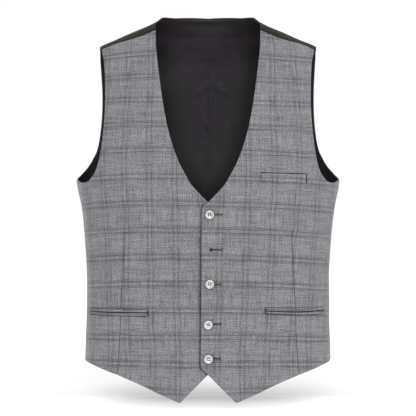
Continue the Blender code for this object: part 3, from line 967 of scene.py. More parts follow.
class NodeGraph:
    """A material and short ways to add nodes to it."""

    def __init__(self, name: str) -> None:
        """Makes the material, with its shader and output."""
        self.material = bpy.data.materials.new(name)
        self.material.use_nodes = True
        self.tree = self.material.node_tree
        self.shader = self.tree.nodes["Principled BSDF"]

    def feed(self, node: Node, inputs: Inputs) -> None:
        """Feeds a node.

        Args:
            node: the node.
            inputs: a socket, number or colour for each of its inputs, by the input's name or number.
        """
        for key, value in inputs.items():
            if isinstance(value, Socket):
                self.tree.links.new(value, node.inputs[key])
            else:
                node.inputs[key].default_value = value

    def node(self, kind: str, inputs: Inputs, **settings: str) -> Node:
        """Adds a node.

        Args:
            kind: its type, without the word ShaderNode.
            inputs: what feeds it.
            settings: its own settings.

        Returns:
            The node.
        """
        node = self.tree.nodes.new("ShaderNode" + kind)
        for key, value in settings.items():
            setattr(node, key, value)
        self.feed(node, inputs)
        return node

    def math(self, operation: str, *values: Value) -> Socket:
        """The result of a Math node on these values."""
        return self.node("Math", dict(enumerate(values)), operation=operation).outputs[0]

    def add(self, *values: Value) -> Socket:
        """The sum of these values."""
        return reduce(partial(self.math, "ADD"), values)

    def times(self, *values: Value) -> Socket:
        """The product of these values."""
        return reduce(partial(self.math, "MULTIPLY"), values)

    def length(self, first: Socket, second: Socket) -> Socket:
        """The length of a line with these two sides."""
        return self.math("SQRT", self.add(self.times(first, first), self.times(second, second)))

    def mix(self, share: Value, low: Value | Row, high: Value | Row) -> Socket:
        """A colour between two others, by the share of the second."""
        return self.node("Mix", {"Factor": share, 6: low, 7: high}, data_type="RGBA").outputs[2]

    def ramp(self, value: Socket, low: float, high: float, start: float = 0.0, end: float = 1.0) -> Socket:
        """The value taken smoothly from (low, high) to (start, end)."""
        inputs = {"Value": value, "From Min": low, "From Max": high, "To Min": start, "To Max": end}
        return self.node("MapRange", inputs, interpolation_type="SMOOTHSTEP").outputs[0]

    def parts(self, vector: Socket) -> tuple[Socket, ...]:
        """A vector's X, Y and Z."""
        return tuple(self.node("SeparateXYZ", {0: vector}).outputs)

    def cloth_map(self) -> tuple[Socket, ...]:
        """The cloth's own coordinates, across and up."""
        return self.parts(self.node("UVMap", {}, uv_map=CLOTH_MAP).outputs[0])[:2]

    def place(self) -> Socket:
        """The piece's own coordinates in metres."""
        return self.node("TexCoord", {}).outputs["Object"]

    def attribute(self, name: str) -> Socket:
        """A named number of the piece's vertices."""
        return self.node("Attribute", {}, attribute_name=name).outputs["Fac"]

    def noise(
        self, vector: Socket, scale: float = 1.0, detail: float = 2.0, roughness: float = 0.5, distortion: float = 0.0
    ) -> Socket:
        """A noise from 0 to 1 about 0.5, with features of about 1 / scale."""
        sizes = {"Scale": scale, "Detail": detail, "Roughness": roughness, "Distortion": distortion}
        return self.node("TexNoise", {"Vector": vector, **sizes}).outputs[0]

    def fibres(self, place: tuple[Socket, ...], fibres: Fibres) -> Socket:
        """Adds the noise of a set of fibres.

        Args:
            place: the place across and up the cloth.
            fibres: their sizes.

        Returns:
            A number from 0 to 1 about 0.5.
        """
        steps = [self.times(along, 1 / size) for along, size in zip(place, fibres.size)]
        vector = self.node("CombineXYZ", dict(enumerate([*steps, fibres.layer]))).outputs[0]
        return self.noise(vector, detail=fibres.detail, roughness=fibres.roughness)

    def mixed(self, *noises: tuple[Socket, Fibres]) -> Socket:
        """The sum of noises about a half, each by its fibres' weight."""
        swings = [self.times(self.add(noise, -0.5), fibres.weight) for noise, fibres in noises]
        return self.add(*swings, 0.5)

    def finish(self, colour: Socket, roughness: Value, height: Socket, bump: float, **gloss: Value | Row) -> Material:
        """Feeds the shader.

        Args:
            colour: the base colour.
            roughness: the roughness.
            height: the surface's height, in shares of bump.
            bump: how high it stands, in metres.
            gloss: the shader's other inputs, their names written with underscores.

        Returns:
            The finished material.
        """
        bumps = self.node("Bump", {"Strength": 1.0, "Distance": bump, "Height": height})
        self.feed(self.shader, {"Base Color": colour, "Roughness": roughness, "Normal": bumps.outputs[0]})
        self.feed(self.shader, {key.replace("_", " "): value for key, value in gloss.items()})
        return self.material


@dataclass(frozen=True)
class WoolCheck:
    """Worsted in a mixed grey, with groups of four darker lines both ways."""

    dark: Row = (0.0755, 0.0775, 0.0840, 1)
    light: Row = (0.239, 0.242, 0.2545, 1)
    line: Row = (0.062, 0.060, 0.066, 1)
    # the colour that painted shade darkens the cloth towards
    deep: Row = (0.012, 0.012, 0.014, 1)
    #   the threads, the cloth's tone from all dark to all light, and how far the lines wander
    warp: Fibres = Fibres((0.0014, 0.032), 1.5)
    weft: Fibres = Fibres((0.036, 0.0014), 1.3, layer=3.7)
    grain: Fibres = Fibres((0.0019, 0.0019), 2.7, layer=7.1, detail=3.0, roughness=0.6)
    cloud: Fibres = Fibres((0.045, 0.045), 0.3, layer=1.3)
    tones: Row = (-0.2, 1.2)
    wander: Fibres = Fibres((0.02, 0.02), 0.0009, layer=5.0)
    #   the check's groups of lines, and how they break up along their length
    repeat: float = 0.0416
    strong_at: float = 0.00315
    weak_at: float = 0.0056
    line_width: float = 0.0017
    line_blur: float = 0.0007
    weak_share: float = 0.55
    row_strength: float = 0.70
    column_strength: float = 0.57
    row_breaks: Row = (0.25, 0.75, 1.15, 0.75)
    column_breaks: Row = (0.25, 0.75, 1.2, 0.7)
    crossing: float = 0.9
    #   the twill's ribs and the threads in the surface's height
    yarn: float = 0.00055
    twill_slope: float = 0.5
    rib_height: float = 0.22
    thread_height: float = 0.5
    bump: float = 0.00012
    #   painted shade in the dart's seam
    seam_shade: float = 0.66
    #   the painted shadow in the gap beside the lap's edge: its darkness, the edge's line, its curl at the top and
    #   its cutaway, and the shadow's width, which grows downwards, its ends and its unevenness
    lap_shade: float = 0.70
    lap_across: float = -0.0086
    lap_slope: float = 0.0075
    lap_top: float = -0.3115
    lap_curl: Row = (95.0, 0.0112)
    cutaway_sum: float = -0.5790
    gap_narrows: Row = (-0.42, -0.33, 1.25, 1.6)
    gap_width: Row = (0.0002, 0.0030)
    gap_top: Row = (-0.3030, -0.3005)
    gap_foot: Row = (-0.5815, -0.5780)
    gap_patches: float = 140.0
    gap_breaks: Row = (0.3, 0.7, 1.1, 0.7)
    front_only: Row = (-0.06, -0.05)
    #   the painted shadow round the buttons, by its distance from their middles
    button_shade: float = 0.62
    button_ring: Row = (0.0068, 0.0098)

    def lines(self, graph: NodeGraph, place: Socket) -> Socket:
        """Draws the check's lines one way.

        Args:
            graph: the material.
            place: the place along the cloth, across the lines.

        Returns:
            How strongly they show there.
        """
        away = graph.math("PINGPONG", place, self.repeat / 2)
        inner, outer = self.line_width / 2 - self.line_blur / 2, self.line_width / 2 + self.line_blur / 2
        strong = graph.math("ABSOLUTE", graph.add(away, -self.strong_at))
        weak = graph.math("ABSOLUTE", graph.add(away, -self.weak_at))
        strong = graph.ramp(strong, inner, outer, 1.0, 0.0)
        weak = graph.ramp(weak, inner, outer, self.weak_share, 0.0)
        return graph.math("MAXIMUM", strong, weak)

    def shaded(self, graph: NodeGraph) -> Socket:
        """Paints shadow in the gap beside the lap's edge, which is wider lower down, and round the buttons.

        Args:
            graph: the material.

        Returns:
            How much painted shadow lies on the cloth.
        """
        across, back, height = graph.parts(graph.place())
        lap = graph.add(graph.times(height, self.lap_slope), self.lap_across)
        pace, reach = self.lap_curl
        curve = graph.math("MAXIMUM", graph.times(graph.add(height, -self.lap_top), pace), 0.0)
        lap = graph.add(lap, graph.times(curve, curve, reach))
        cutaway = graph.add(self.cutaway_sum, graph.times(height, -1.0))
        line = graph.math("MAXIMUM", lap, cutaway)
        away = graph.math("ABSOLUTE", graph.add(across, graph.times(line, -1.0)))
        away = graph.times(away, graph.ramp(height, *self.gap_narrows))
        shade = graph.ramp(away, *self.gap_width, self.lap_shade, 0.0)
        below = graph.ramp(height, *self.gap_top, 1.0, 0.0)
        above = graph.ramp(height, *self.gap_foot)
        uneven = graph.noise(graph.place(), scale=self.gap_patches, detail=1.0)
        shade = graph.times(shade, below, above, graph.ramp(uneven, *self.gap_breaks))
        for x, z in WORN.buttons:
            away = graph.length(graph.add(across, -x), graph.add(height, -z))
            shade = graph.math("MAXIMUM", shade, graph.ramp(away, *self.button_ring, self.button_shade, 0.0))
        return graph.times(shade, graph.ramp(back, *self.front_only, 1.0, 0.0))

    def surface(self, graph: NodeGraph) -> Surface:
        """Weaves the cloth and paints shade at the dart's seam, the lap's gap and the buttons.

        Args:
            graph: the material.

        Returns:
            Its colour, roughness and height.
        """
        u, v = place = graph.cloth_map()
        sets = (self.warp, self.weft, self.grain, self.cloud)
        warp, weft, grain, _ = noises = [graph.fibres(place, fibres) for fibres in sets]
        ground = graph.mix(graph.ramp(graph.mixed(*zip(noises, sets)), *self.tones), self.dark, self.light)
        wander = graph.times(graph.add(graph.fibres(place, self.wander), -0.5), self.wander.weight)
        rows = self.lines(graph, graph.add(v, wander))
        rows = graph.times(rows, graph.ramp(weft, *self.row_breaks), self.row_strength)
        columns = self.lines(graph, graph.add(u, wander))
        columns = graph.times(columns, graph.ramp(warp, *self.column_breaks), self.column_strength)
        lines = graph.math("MINIMUM", graph.add(rows, graph.times(columns, self.crossing)), 1.0)
        colour = graph.mix(lines, ground, self.line)
        # painted shade at the dart's seam, the lap's gap and round the buttons
        shade = graph.math("MAXIMUM", graph.times(graph.attribute(SEAM_SHADE_MAP), self.seam_shade), self.shaded(graph))
        colour = graph.mix(shade, colour, self.deep)
        across_ribs = graph.add(u, graph.times(v, self.twill_slope))
        ribs = graph.math("SINE", graph.times(across_ribs, 2 * math.pi / self.yarn))
        threads = [graph.times(noise, self.thread_height) for noise in (warp, weft, grain)]
        height = graph.add(graph.times(ribs, self.rib_height), *threads)
        return colour, graph.ramp(grain, 0.3, 0.7, 0.80, 0.95), height

    def material(self) -> Material:
        """Makes the finish.

        Returns:
            Its material.
        """
        graph = NodeGraph("wool_check_cloth")
        gloss = {"Sheen_Weight": 0.12, "Sheen_Roughness": 0.5, "Specular_IOR_Level": 0.25}
        return graph.finish(*self.surface(graph), self.bump, **gloss)


@dataclass(frozen=True)
class Satin:
    """A dark satin, smooth along its warp, with fine streaks."""

    name: str
    dark: Row
    light: Row
    roughness: float
    gloss: float = 0.4
    # painted shade along the seams: its strength and its colour
    seam_shade: float = 0.6
    seam_colour: Row = (0.003, 0.003, 0.003, 1)
    bump: float = 0.00005
    streaks: Fibres = Fibres((0.0009, 0.030), 1.1, layer=2.2, detail=3.0, roughness=0.6)
    slubs: Fibres = Fibres((0.012, 0.0012), 1.2, layer=8.3, roughness=0.6)
    cloud: Fibres = Fibres((0.03, 0.03), 0.3, layer=4.4, detail=3.0)
    warp_spacing: float = 0.0004
    warp_height: float = 0.15
    fibre_height: float = 0.6

    def surface(self, graph: NodeGraph) -> Surface:
        """Weaves the cloth, with painted shade along its seams.

        Args:
            graph: the material.

        Returns:
            Its colour, roughness and height.
        """
        place = graph.cloth_map()
        sets = (self.streaks, self.slubs, self.cloud)
        streaks, slubs, _ = noises = [graph.fibres(place, fibres) for fibres in sets]
        colour = graph.mix(graph.ramp(graph.mixed(*zip(noises, sets)), 0.0, 1.0), self.dark, self.light)
        # painted shade along the seams
        colour = graph.mix(graph.times(graph.attribute(SEAM_SHADE_MAP), self.seam_shade), colour, self.seam_colour)
        threads = graph.math("SINE", graph.times(place[0], 2 * math.pi / self.warp_spacing))
        fibres = [graph.times(noise, self.fibre_height) for noise in (streaks, slubs)]
        height = graph.add(graph.times(threads, self.warp_height), *fibres)
        roughness = graph.ramp(streaks, 0.25, 0.75, self.roughness - 0.06, self.roughness + 0.08)
        return colour, roughness, height

    def material(self) -> Material:
        """Makes the finish."""
        graph = NodeGraph(self.name)
        return graph.finish(*self.surface(graph), self.bump, Specular_IOR_Level=self.gloss)


@dataclass(frozen=True)
class Lining(Satin):
    """The lining's satin, with painted shade where the fronts keep the light from it."""

    # painted shade in the hollow behind the fronts: its strength and its colour
    hollow_shade: float = 0.88
    hollow_colour: Row = (0.0015, 0.0015, 0.0015, 1)

    def surface(self, graph: NodeGraph) -> Surface:
        """Weaves the cloth and paints the fronts' shade on it.

        Args:
            graph: the material.

        Returns:
            Its colour, roughness and height.
        """
        colour, roughness, height = super().surface(graph)
        # painted shade behind the fronts
        hollow = graph.times(graph.attribute(HOLLOW_MAP), self.hollow_shade)
        return graph.mix(hollow, colour, self.hollow_colour), roughness, height


@dataclass(frozen=True)
class FrontInside:
    """A front's inner face: the wool's own facing along the edge and the lining beyond it."""

    wool: WoolCheck
    lining: Satin
    sharpness: float = 0.0001
    seam: float = 0.0006
    seam_height: float = -4.0
    seam_colour: Row = (0.01, 0.01, 0.01, 1)

    def material(self) -> Material:
        """Makes the finish.

        Returns:
            Its material.
        """
        graph = NodeGraph("front_inside_cloth")
        beyond = graph.attribute(FACING_MAP)
        share = graph.ramp(beyond, -self.sharpness, self.sharpness)
        seam = graph.ramp(graph.math("ABSOLUTE", beyond), 0.0, self.seam, 0.5, 0.0)
        wool, wool_roughness, wool_height = self.wool.surface(graph)
        lining, lining_roughness, _ = self.lining.surface(graph)
        colour = graph.mix(seam, graph.mix(share, wool, lining), self.seam_colour)
        rougher = graph.add(lining_roughness, graph.times(wool_roughness, -1.0))
        roughness = graph.add(wool_roughness, graph.times(share, rougher))
        height = graph.add(wool_height, graph.times(seam, self.seam_height))
        return graph.finish(colour, roughness, height, self.lining.bump, Sheen_Weight=0.05, Specular_IOR_Level=0.35)


@dataclass(frozen=True)
class Pearl:
    """Off-white pearl with soft drifts, polished, with painted shade on its rim."""

    pale: Row = (0.415, 0.405, 0.388, 1)
    drift: Row = (0.305, 0.29, 0.265, 1)
    # the rim's painted shade, grey where the rim turns from the light
    rim: Row = (0.235, 0.23, 0.22, 1)
    #   the painted shade's part of the radius, at the rim
    rim_shade_shares: Row = (0.80, 1.0)
    drifts: float = 260.0
    grains: float = 1500.0
    bump: float = 0.00002

    def material(self) -> Material:
        """Makes the finish.

        Returns:
            Its material.
        """
        graph = NodeGraph("button_pearl_shell")
        place = graph.place()
        swirl = graph.noise(place, scale=self.drifts, detail=3.0, roughness=0.55, distortion=1.4)
        fine = graph.noise(place, scale=self.grains, detail=2.0)
        colour = graph.mix(graph.ramp(swirl, 0.35, 0.75), self.pale, self.drift)
        # painted shade towards the rim
        colour = graph.mix(graph.ramp(graph.attribute(RING_MAP), *self.rim_shade_shares), colour, self.rim)
        gloss = {"Coat_Weight": 0.6, "Coat_Roughness": 0.08, "Specular_IOR_Level": 0.6}
        return graph.finish(colour, graph.ramp(swirl, 0.3, 0.7, 0.16, 0.30), fine, self.bump, **gloss)


@dataclass(frozen=True)
class Thread:
    """Twisted sewing thread."""

    name: str
    dark: Row
    light: Row
    twists: float = 2600.0
    bump: float = 0.00006

    def material(self) -> Material:
        """Makes the finish.

        Returns:
            Its material.
        """
        graph = NodeGraph(self.name)
        twist = graph.noise(graph.place(), scale=self.twists, detail=2.0, distortion=0.6)
        colour = graph.mix(graph.ramp(twist, 0.3, 0.7), self.dark, self.light)
        return graph.finish(colour, 0.7, twist, self.bump, Sheen_Weight=0.1, Specular_IOR_Level=0.3)


@dataclass(frozen=True)
class FloorPaint:
    """The studio's pale floor, with painted shade and painted light that shape the part's soft shadow."""

    # painted shade: darker near the middle and paler further out
    near: Row = (0.70, 0.70, 0.70, 1)
    far: Row = (0.89, 0.89, 0.89, 1)
    far_from: Row = (0.05, 0.45)
    #   the middle and the half sizes of the painted soft shadow behind the part's foot, across and back
    shade_middle: Row = (0.0126, 0.232)
    shade_half: Row = (0.235, 0.40)
    #   the painted light, a glow beside, in front and far out: its strength, where it grows, and where it fades
    #   outwards and back
    side_glow: float = 0.194
    side_reach: Row = (0.584, 1.093)
    side_fades: Rows = ((0.534, 0.157), (-0.0945, 0.053))
    front_glow: float = 0.573
    front_reach: Row = (0.131, -0.088)
    front_fades: Rows = ((0.55, 0.32), (-0.27, -0.175))
    far_glow: float = 0.146
    far_reach: Row = (0.40, 1.2)

    def material(self) -> Material:
        """Makes the finish, whose painted soft shadow lies behind the part's foot.

        Returns:
            Its material.
        """
        graph = NodeGraph("floor_paint")
        across, back, _ = graph.parts(graph.place())
        spread = graph.length(across, back)
        colour = graph.mix(graph.ramp(spread, *self.far_from), self.near, self.far)
        cloudy = graph.noise(graph.place(), scale=3.0, detail=2.0)
        sides = zip((across, back), self.shade_middle, self.shade_half)
        away = graph.length(*(graph.times(graph.add(place, -middle), 1 / half) for place, middle, half in sides))
        glows = (
            (graph.ramp(away, *self.side_reach, 0.0, self.side_glow), self.side_fades),
            (graph.ramp(back, *self.front_reach, 0.0, self.front_glow), self.front_fades),
        )
        faded = [graph.times(glow, graph.ramp(spread, *out), graph.ramp(back, *rear)) for glow, (out, rear) in glows]
        far = graph.ramp(spread, *self.far_reach, 0.0, self.far_glow)
        glow = {"Emission_Strength": graph.add(*faded, far), "Emission_Color": (1, 1, 1, 1)}
        return graph.finish(colour, 0.9, cloudy, 0.00001, Specular_IOR_Level=0.1, **glow)


class Finishes:
    """Every material of the waistcoat, made once."""

    def __init__(self) -> None:
        """Makes them all."""
        wool = WoolCheck()
        satin = Satin(
            name="back_satin_cloth",
            dark=(0.0085, 0.0065, 0.0067, 1),
            light=(0.043, 0.0335, 0.0325, 1),
            roughness=0.55,
            gloss=0.07,
            seam_shade=0.8,
        )
        lining = Lining(
            name="lining_cloth",
            dark=(0.0092, 0.0071, 0.0093, 1),
            light=(0.0195, 0.0156, 0.0199, 1),
            roughness=0.52,
            gloss=0.17,
            seam_shade=0.3,
        )
        # pocket lining in the mouths, also painted shade round the mouths and in the buttonholes' eyes and slits, and
        # the pockets' dark bar tacks
        pocketing_and_shade = Satin(
            name="pocketing_and_shade", dark=(0.005, 0.005, 0.006, 1), light=(0.011, 0.011, 0.012, 1), roughness=0.8, gloss=0.15
        )
        hole_thread = Thread("buttonhole_thread", dark=(0.028, 0.028, 0.032, 1), light=(0.064, 0.064, 0.070, 1))
        button_thread = Thread("button_thread", dark=(0.012, 0.008, 0.005, 1), light=(0.032, 0.021, 0.013, 1))
        self.wool = wool.material()
        self.satin = satin.material()
        self.lining = lining.material()
        self.front_inside = FrontInside(wool, lining).material()
        self.pearl = Pearl().material()
        self.hole_thread = hole_thread.material()
        self.button_thread = button_thread.material()
        # the pocket lining, painted shade round the mouths and in the buttonholes, and the dark bar tacks
        self.mouth = pocketing_and_shade.material()


@cache
def finishes() -> Finishes:
    """The waistcoat's finishes, made once."""
    return Finishes()


# ---- panels

SEAM_TOUCH = -0.00008
FOLD_RADIUS = 0.0010
SEAM_RADIUS = 0.0005


@dataclass(frozen=True)
class SideSeam:
    """The seam from hem to underarm, and the shoulder seam, which the front and the back share."""

    hem: float = -0.5605
    top: float = -0.2618
    cells: int = 118
    shoulder: Rows = ((0.0864, -0.0170), (0.1150, -0.0293), (0.1751, -0.0490))

    def points(self, face: Face) -> Array:
        """The side seam from the hem up.

        Args:
            face: the face on whose side of the seam they lie.

        Returns:
            The seam's points.
        """
        heights = self.hem + graded(self.top - self.hem, self.cells)
        half_width = BODY.sizes(heights)[:, 0]
        return np.stack([half_width, np.full(len(heights), face.value * SEAM_TOUCH), heights], axis=-1)

    def over_shoulder(self, face: Face, cells: int) -> Array:
        """The shoulder seam from the neck out, on this face's side of it."""
        line = edge(BODY.on_face(self.shoulder, Face.FRONT), cells)
        return BODY.onto(line + np.array([0, face.value * SEAM_TOUCH, 0]))


SEAMS = SideSeam()


@dataclass
class FrontPanel:
    """A front: lap edge, pointed hem, dart, armhole, strap and neckline, and the facing inside it."""

    side: Side
    lap_corner: Row = (-0.0060, -0.3045)
    neckline: Rows = (
        *((0.0000, -0.3005), (0.0131, -0.2874), (0.0274, -0.2716), (0.0373, -0.2542), (0.0474, -0.2345)),
        *((0.0578, -0.2062), (0.0665, -0.1734), (0.0728, -0.1400), (0.0800, -0.0886), (0.0850, -0.0445)),
    )
    underarm: Row = (0.1870, -0.2575)
    armhole: Rows = (
        (0.1815, -0.2470),
        (0.1765, -0.2290),
        (0.1722, -0.2030),
        (0.1690, -0.1735),
        (0.1673, -0.1400),
        (0.1682, -0.0985),
        (0.1712, -0.0680),
    )
    armhole_foot: Rows = ((0.1947, -0.2660), (0.2018, -0.2686), (0.2081, -0.2683), (0.2129, -0.2657))
    lap_hem_corner: Row = (-0.0120, -0.5655)
    lap_edge: Rows = ((-0.0102, -0.3170), (-0.0095, -0.3100))
    point: Row = (0.0454, -0.6229)
    hem_to_dart: Rows = ((0.0764, -0.6097), (0.1100, -0.5943))
    dart_foot: Row = (0.1475, -0.5795)
    hem_to_side: Rows = ((0.1700, -0.5723), (0.1920, -0.5650))
    chest_at_dart: Row = (0.1340, -0.2760)
    cells_to_point: int = 32
    cells_to_dart: int = 32
    cells_to_underarm: int = 24
    cells_underarm: int = 20
    cells_up: int = 110
    facing_width: float = 0.058
    facing_step: float = 0.002
    swell: float = 0.00028

    def patches(self) -> tuple[list[Array], list[RoundedEdges], Array]:
        """The panel's patches on the left half of the form.

        Returns:
            The patches, the panel's rounded edges, and the line from the hem's point up to the neck.
        """
        dart_line = [(across, height) for height, across in WORN.dart]
        front = Face.FRONT
        lap = edge(BODY.on_face([self.lap_hem_corner, *self.lap_edge, self.lap_corner], front), SEAMS.cells)
        side = SEAMS.points(front)
        dart = edge(BODY.on_face([*dart_line, self.chest_at_dart], front), SEAMS.cells)
        cutaway = edge(BODY.on_face([self.lap_hem_corner, self.point], front), self.cells_to_point, fine_end=False)
        inner_hem = BODY.on_face([self.point, *self.hem_to_dart, self.dart_foot], front)
        hem_in = edge(inner_hem, self.cells_to_dart, fine_start=False)
        outer_hem = [*BODY.on_face([self.dart_foot, *self.hem_to_side], front), side[0]]
        hem_out = edge(outer_hem, self.cells_to_underarm + self.cells_underarm + 2 * len(RIM_STOPS))
        chest = BODY.on_face([self.lap_corner, self.chest_at_dart, self.underarm], front)
        chest_in = edge(chest[:2], self.cells_to_point + self.cells_to_dart)
        chest_out = edge(chest[1:], self.cells_to_underarm)
        foot = edge([*BODY.on_face([self.underarm, *self.armhole_foot], front), side[-1]], self.cells_underarm)
        strap_cells = len(chest_in) + len(chest_out) - 2 - 2 * len(RIM_STOPS)
        shoulder = SEAMS.over_shoulder(front, strap_cells)
        neck = edge([*BODY.on_face([self.lap_corner, *self.neckline], front), shoulder[0]], self.cells_up)
        arm = edge([*BODY.on_face([self.underarm, *self.armhole], front), shoulder[-1]], self.cells_up)
        grids = [
            patch(joined(cutaway, hem_in), chest_in, lap, dart),
            patch(hem_out, joined(chest_out, foot), dart, side),
            patch(joined(chest_in, chest_out), shoulder, neck, arm),
        ]
        turned = [lap, neck, cutaway, joined(hem_in, hem_out), arm, foot]
        rims = [RoundedEdges(turned, FOLD_RADIUS), RoundedEdges([side, shoulder], SEAM_RADIUS)]
        return grids, rims, joined(cutaway[::-1], lap, neck)

    def build(self) -> Piece:
        """Builds and dresses the front.

        Returns:
            The front's object.
        """
        grids, rims, faced_line = self.patches()
        lift = partial(WORN.fronts, side=self.side)
        shell = Shell(f"front_{self.side.word}_cloth", grids, self.side, lift, WORN.front_wall, rims, self.swell)
        piece = shell.build()
        shell.lay_cloth(CHECK_LAYS[self.side].on_cloth)
        reach = 1.5 * self.facing_width
        away = RoundedEdges([faced_line], FOLD_RADIUS, self.facing_step).distances(shell.on_form, reach)
        mark(piece, FACING_MAP, away - self.facing_width)
        # painted shade in the dart's seam
        mark(piece, SEAM_SHADE_MAP, WORN.in_dart(shell.on_form))
        dress(piece, "wool_check", finishes().wool, finishes().front_inside)
        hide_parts(f"front_{self.side.word}")
        return piece


def plain_lay(points: Array, beyond_dart: Array) -> Array:
    """The own coordinates of a cloth that hangs straight: round the form, and up it."""
    return np.stack([BODY.round_length(points), points[:, 2]], axis=-1)


@dataclass
class BackPanel:
    """Half of the back, or of the lining inside it, from hem to neck and over the shoulder."""

    side: Side
    neck: Rows = ((0.0543, 0.0121), (0.0765, 0.0099), (0.0822, 0.0042))
    neck_height: float = 0.0125
    side_neck: Row = (0.0860, 0.0)
    shoulder_tip: Row = (0.1800, -0.0430)
    underarm: Row = (0.1974, -0.2309)
    armhole: Rows = (
        (0.1889, -0.2115),
        (0.1844, -0.1876),
        (0.1813, -0.1587),
        (0.1801, -0.1200),
        (0.1811, -0.0831),
        (0.1822, -0.0637),
        (0.1816, -0.0480),
    )
    armhole_foot: Rows = ((0.2046, -0.2428), (0.2093, -0.2485), (0.2126, -0.2532), (0.2172, -0.2590))
    chest_height: float = -0.2350
    chest: Row = (0.1100, -0.2345)
    hem_height: float = -0.5560
    hem: Row = (0.1500, -0.5590)
    cells_neck: int = 34
    cells_ridge: int = 38
    cells_underarm: int = 12
    cells_up: int = 96
    cells_over: int = 10
    #   painted shade along the centre, side and shoulder seams: how far it reaches, and how deep it is
    seam_reaches: Row = (0.0018, 0.0018, 0.0070)
    seam_depths: Row = (1.0, 1.0, 0.85)
    swell: float = 0.00012
    back_fold: float = 0.00055
    lining_fold: float = 0.00045
    sewn_share: float = 0.8
    #   the neckline's painted shadow on the lining: its size about this level, its fading, and the light above it
    hollow_scale: float = 1.069
    hollow_level: float = -0.31
    hollow_margins: Row = (0.004, 0.010)
    hollow_fade: float = 0.038
    lit_from: float = -0.045
    lit_over: float = 0.033

    def centre(self, start: float, end: float, cells: int) -> Array:
        """The centre back seam between two heights, with this many even cells along it."""
        heights = start + graded(end - start, cells)
        return BODY.on_face(np.stack([np.full(len(heights), SEAM_TOUCH), heights], axis=-1), Face.BACK)

    def patches(self) -> tuple[list[Array], list[Array], list[Array]]:
        """The panel's patches on the left half of the form.

        Returns:
            The patches, its turned edges and its sewn edges.
        """
        back = Face.BACK
        lower = self.centre(self.hem_height, self.chest_height, SEAMS.cells)
        upper = self.centre(self.chest_height, self.neck_height, self.cells_up)
        side = SEAMS.points(back)
        inner_cells = self.cells_neck + self.cells_ridge + 2 * len(RIM_STOPS)
        chest = edge([upper[0], *BODY.on_face([self.chest, self.underarm], back)], inner_cells)
        foot = edge([*BODY.on_face([self.underarm, *self.armhole_foot], back), side[-1]], self.cells_underarm)
        hem_cells = len(chest) + len(foot) - 2 - 2 * len(RIM_STOPS)
        hem = edge([lower[0], *BODY.on_face([self.hem], back), side[0]], hem_cells)
        neck = edge([upper[-1], *BODY.on_face([*self.neck, self.side_neck], back)], self.cells_neck)
        ridge = edge(BODY.on_face([self.side_neck, self.shoulder_tip], back), self.cells_ridge)
        arm = edge(BODY.on_face([self.underarm, *self.armhole, self.shoulder_tip], back), self.cells_up)
        shoulder = SEAMS.over_shoulder(back, self.cells_ridge)
        neck_over = edge([ridge[0], shoulder[0]], self.cells_over)
        tip_over = edge([ridge[-1], shoulder[-1]], self.cells_over)
        grids = [
            patch(hem, joined(chest, foot), lower, side),
            patch(chest, joined(neck, ridge), upper, arm),
            patch(ridge, shoulder, neck_over, tip_over),
        ]
        turned = [hem, joined(neck, neck_over), joined(foot[::-1], arm, tip_over)]
        return grids, turned, [joined(lower, upper), side, shoulder]

    def shell(self, name: str, lift: Callable[[Array], Array], wall: float, fold: float) -> Shell:
        """A shell on the panel's patches.

        Args:
            name: the piece's name.
            lift: where its outer face lies.
            wall: its thickness.
            fold: the radius of its turned edges.

        Returns:
            The shell, built and with its map of the cloth.
        """
        grids, turned, sewn = self.patches()
        rims = [RoundedEdges(turned, fold), RoundedEdges(sewn, self.sewn_share * fold)]
        shell = Shell(name, grids, self.side, lift, wall, rims, self.swell)
        piece = shell.build()
        shell.lay_cloth(plain_lay)
        # painted shade along the sewn edges
        depth = np.zeros(len(shell.on_form))
        for line, reach, deepest in zip(sewn, self.seam_reaches, self.seam_depths):
            away = RoundedEdges([line], fold).distances(shell.on_form, reach)
            depth = np.maximum(depth, deepest * (1 - smooth_step(away / reach)))
        mark(piece, SEAM_SHADE_MAP, depth)
        return shell

    def build(self) -> Piece:
        """Builds and dresses the half back.

        Returns:
            The half back's object.
        """
        piece = self.shell(f"back_{self.side.word}_cloth", WORN.backs, WORN.back_wall, self.back_fold).piece
        dress(piece, "back_satin", finishes().satin, finishes().satin)
        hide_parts(f"back_{self.side.word}")
        return piece

    def in_hollow(self, points: Array) -> Array:
        """How much painted shadow of the fronts lies on each point of the lining.

        Args:
            points: points on the form.

        Returns:
            Numbers from 0, in the open of the neckline and by the armholes, to 1, at the neckline's edges.
        """
        level = np.array([0, self.hollow_level])
        across, heights = ((np.array(FrontPanel.neckline) - level) * self.hollow_scale + level).T
        inside = np.interp(points[:, 2], heights, across) - np.abs(points[:, 0])
        lit_top = smooth_step((points[:, 2] - self.lit_from) / self.lit_over)
        in_by, out_by = self.hollow_margins
        near = 1 - smooth_step((inside - in_by) / self.hollow_fade)
        return near * (1 - smooth_step((-inside - out_by) / self.hollow_fade)) * (1 - lit_top)

    def build_lining(self) -> Piece:
        """Builds and dresses the half back's lining.

        Returns:
            The lining's object.
        """
        shell = self.shell(f"lining_{self.side.word}_cloth", WORN.linings, WORN.lining_wall, self.lining_fold)
        piece = shell.piece
        # painted shade behind the fronts
        mark(piece, HOLLOW_MAP, self.in_hollow(shell.on_form))
        dress(piece, "lining", finishes().lining, finishes().lining)
        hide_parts(f"back_lining_{self.side.word}")
        return piece


# ---- pockets

MOUTH_LIFT = 0.00028
MOUTH_WALL = 0.00026
MOUTH_RADIUS = 0.0001


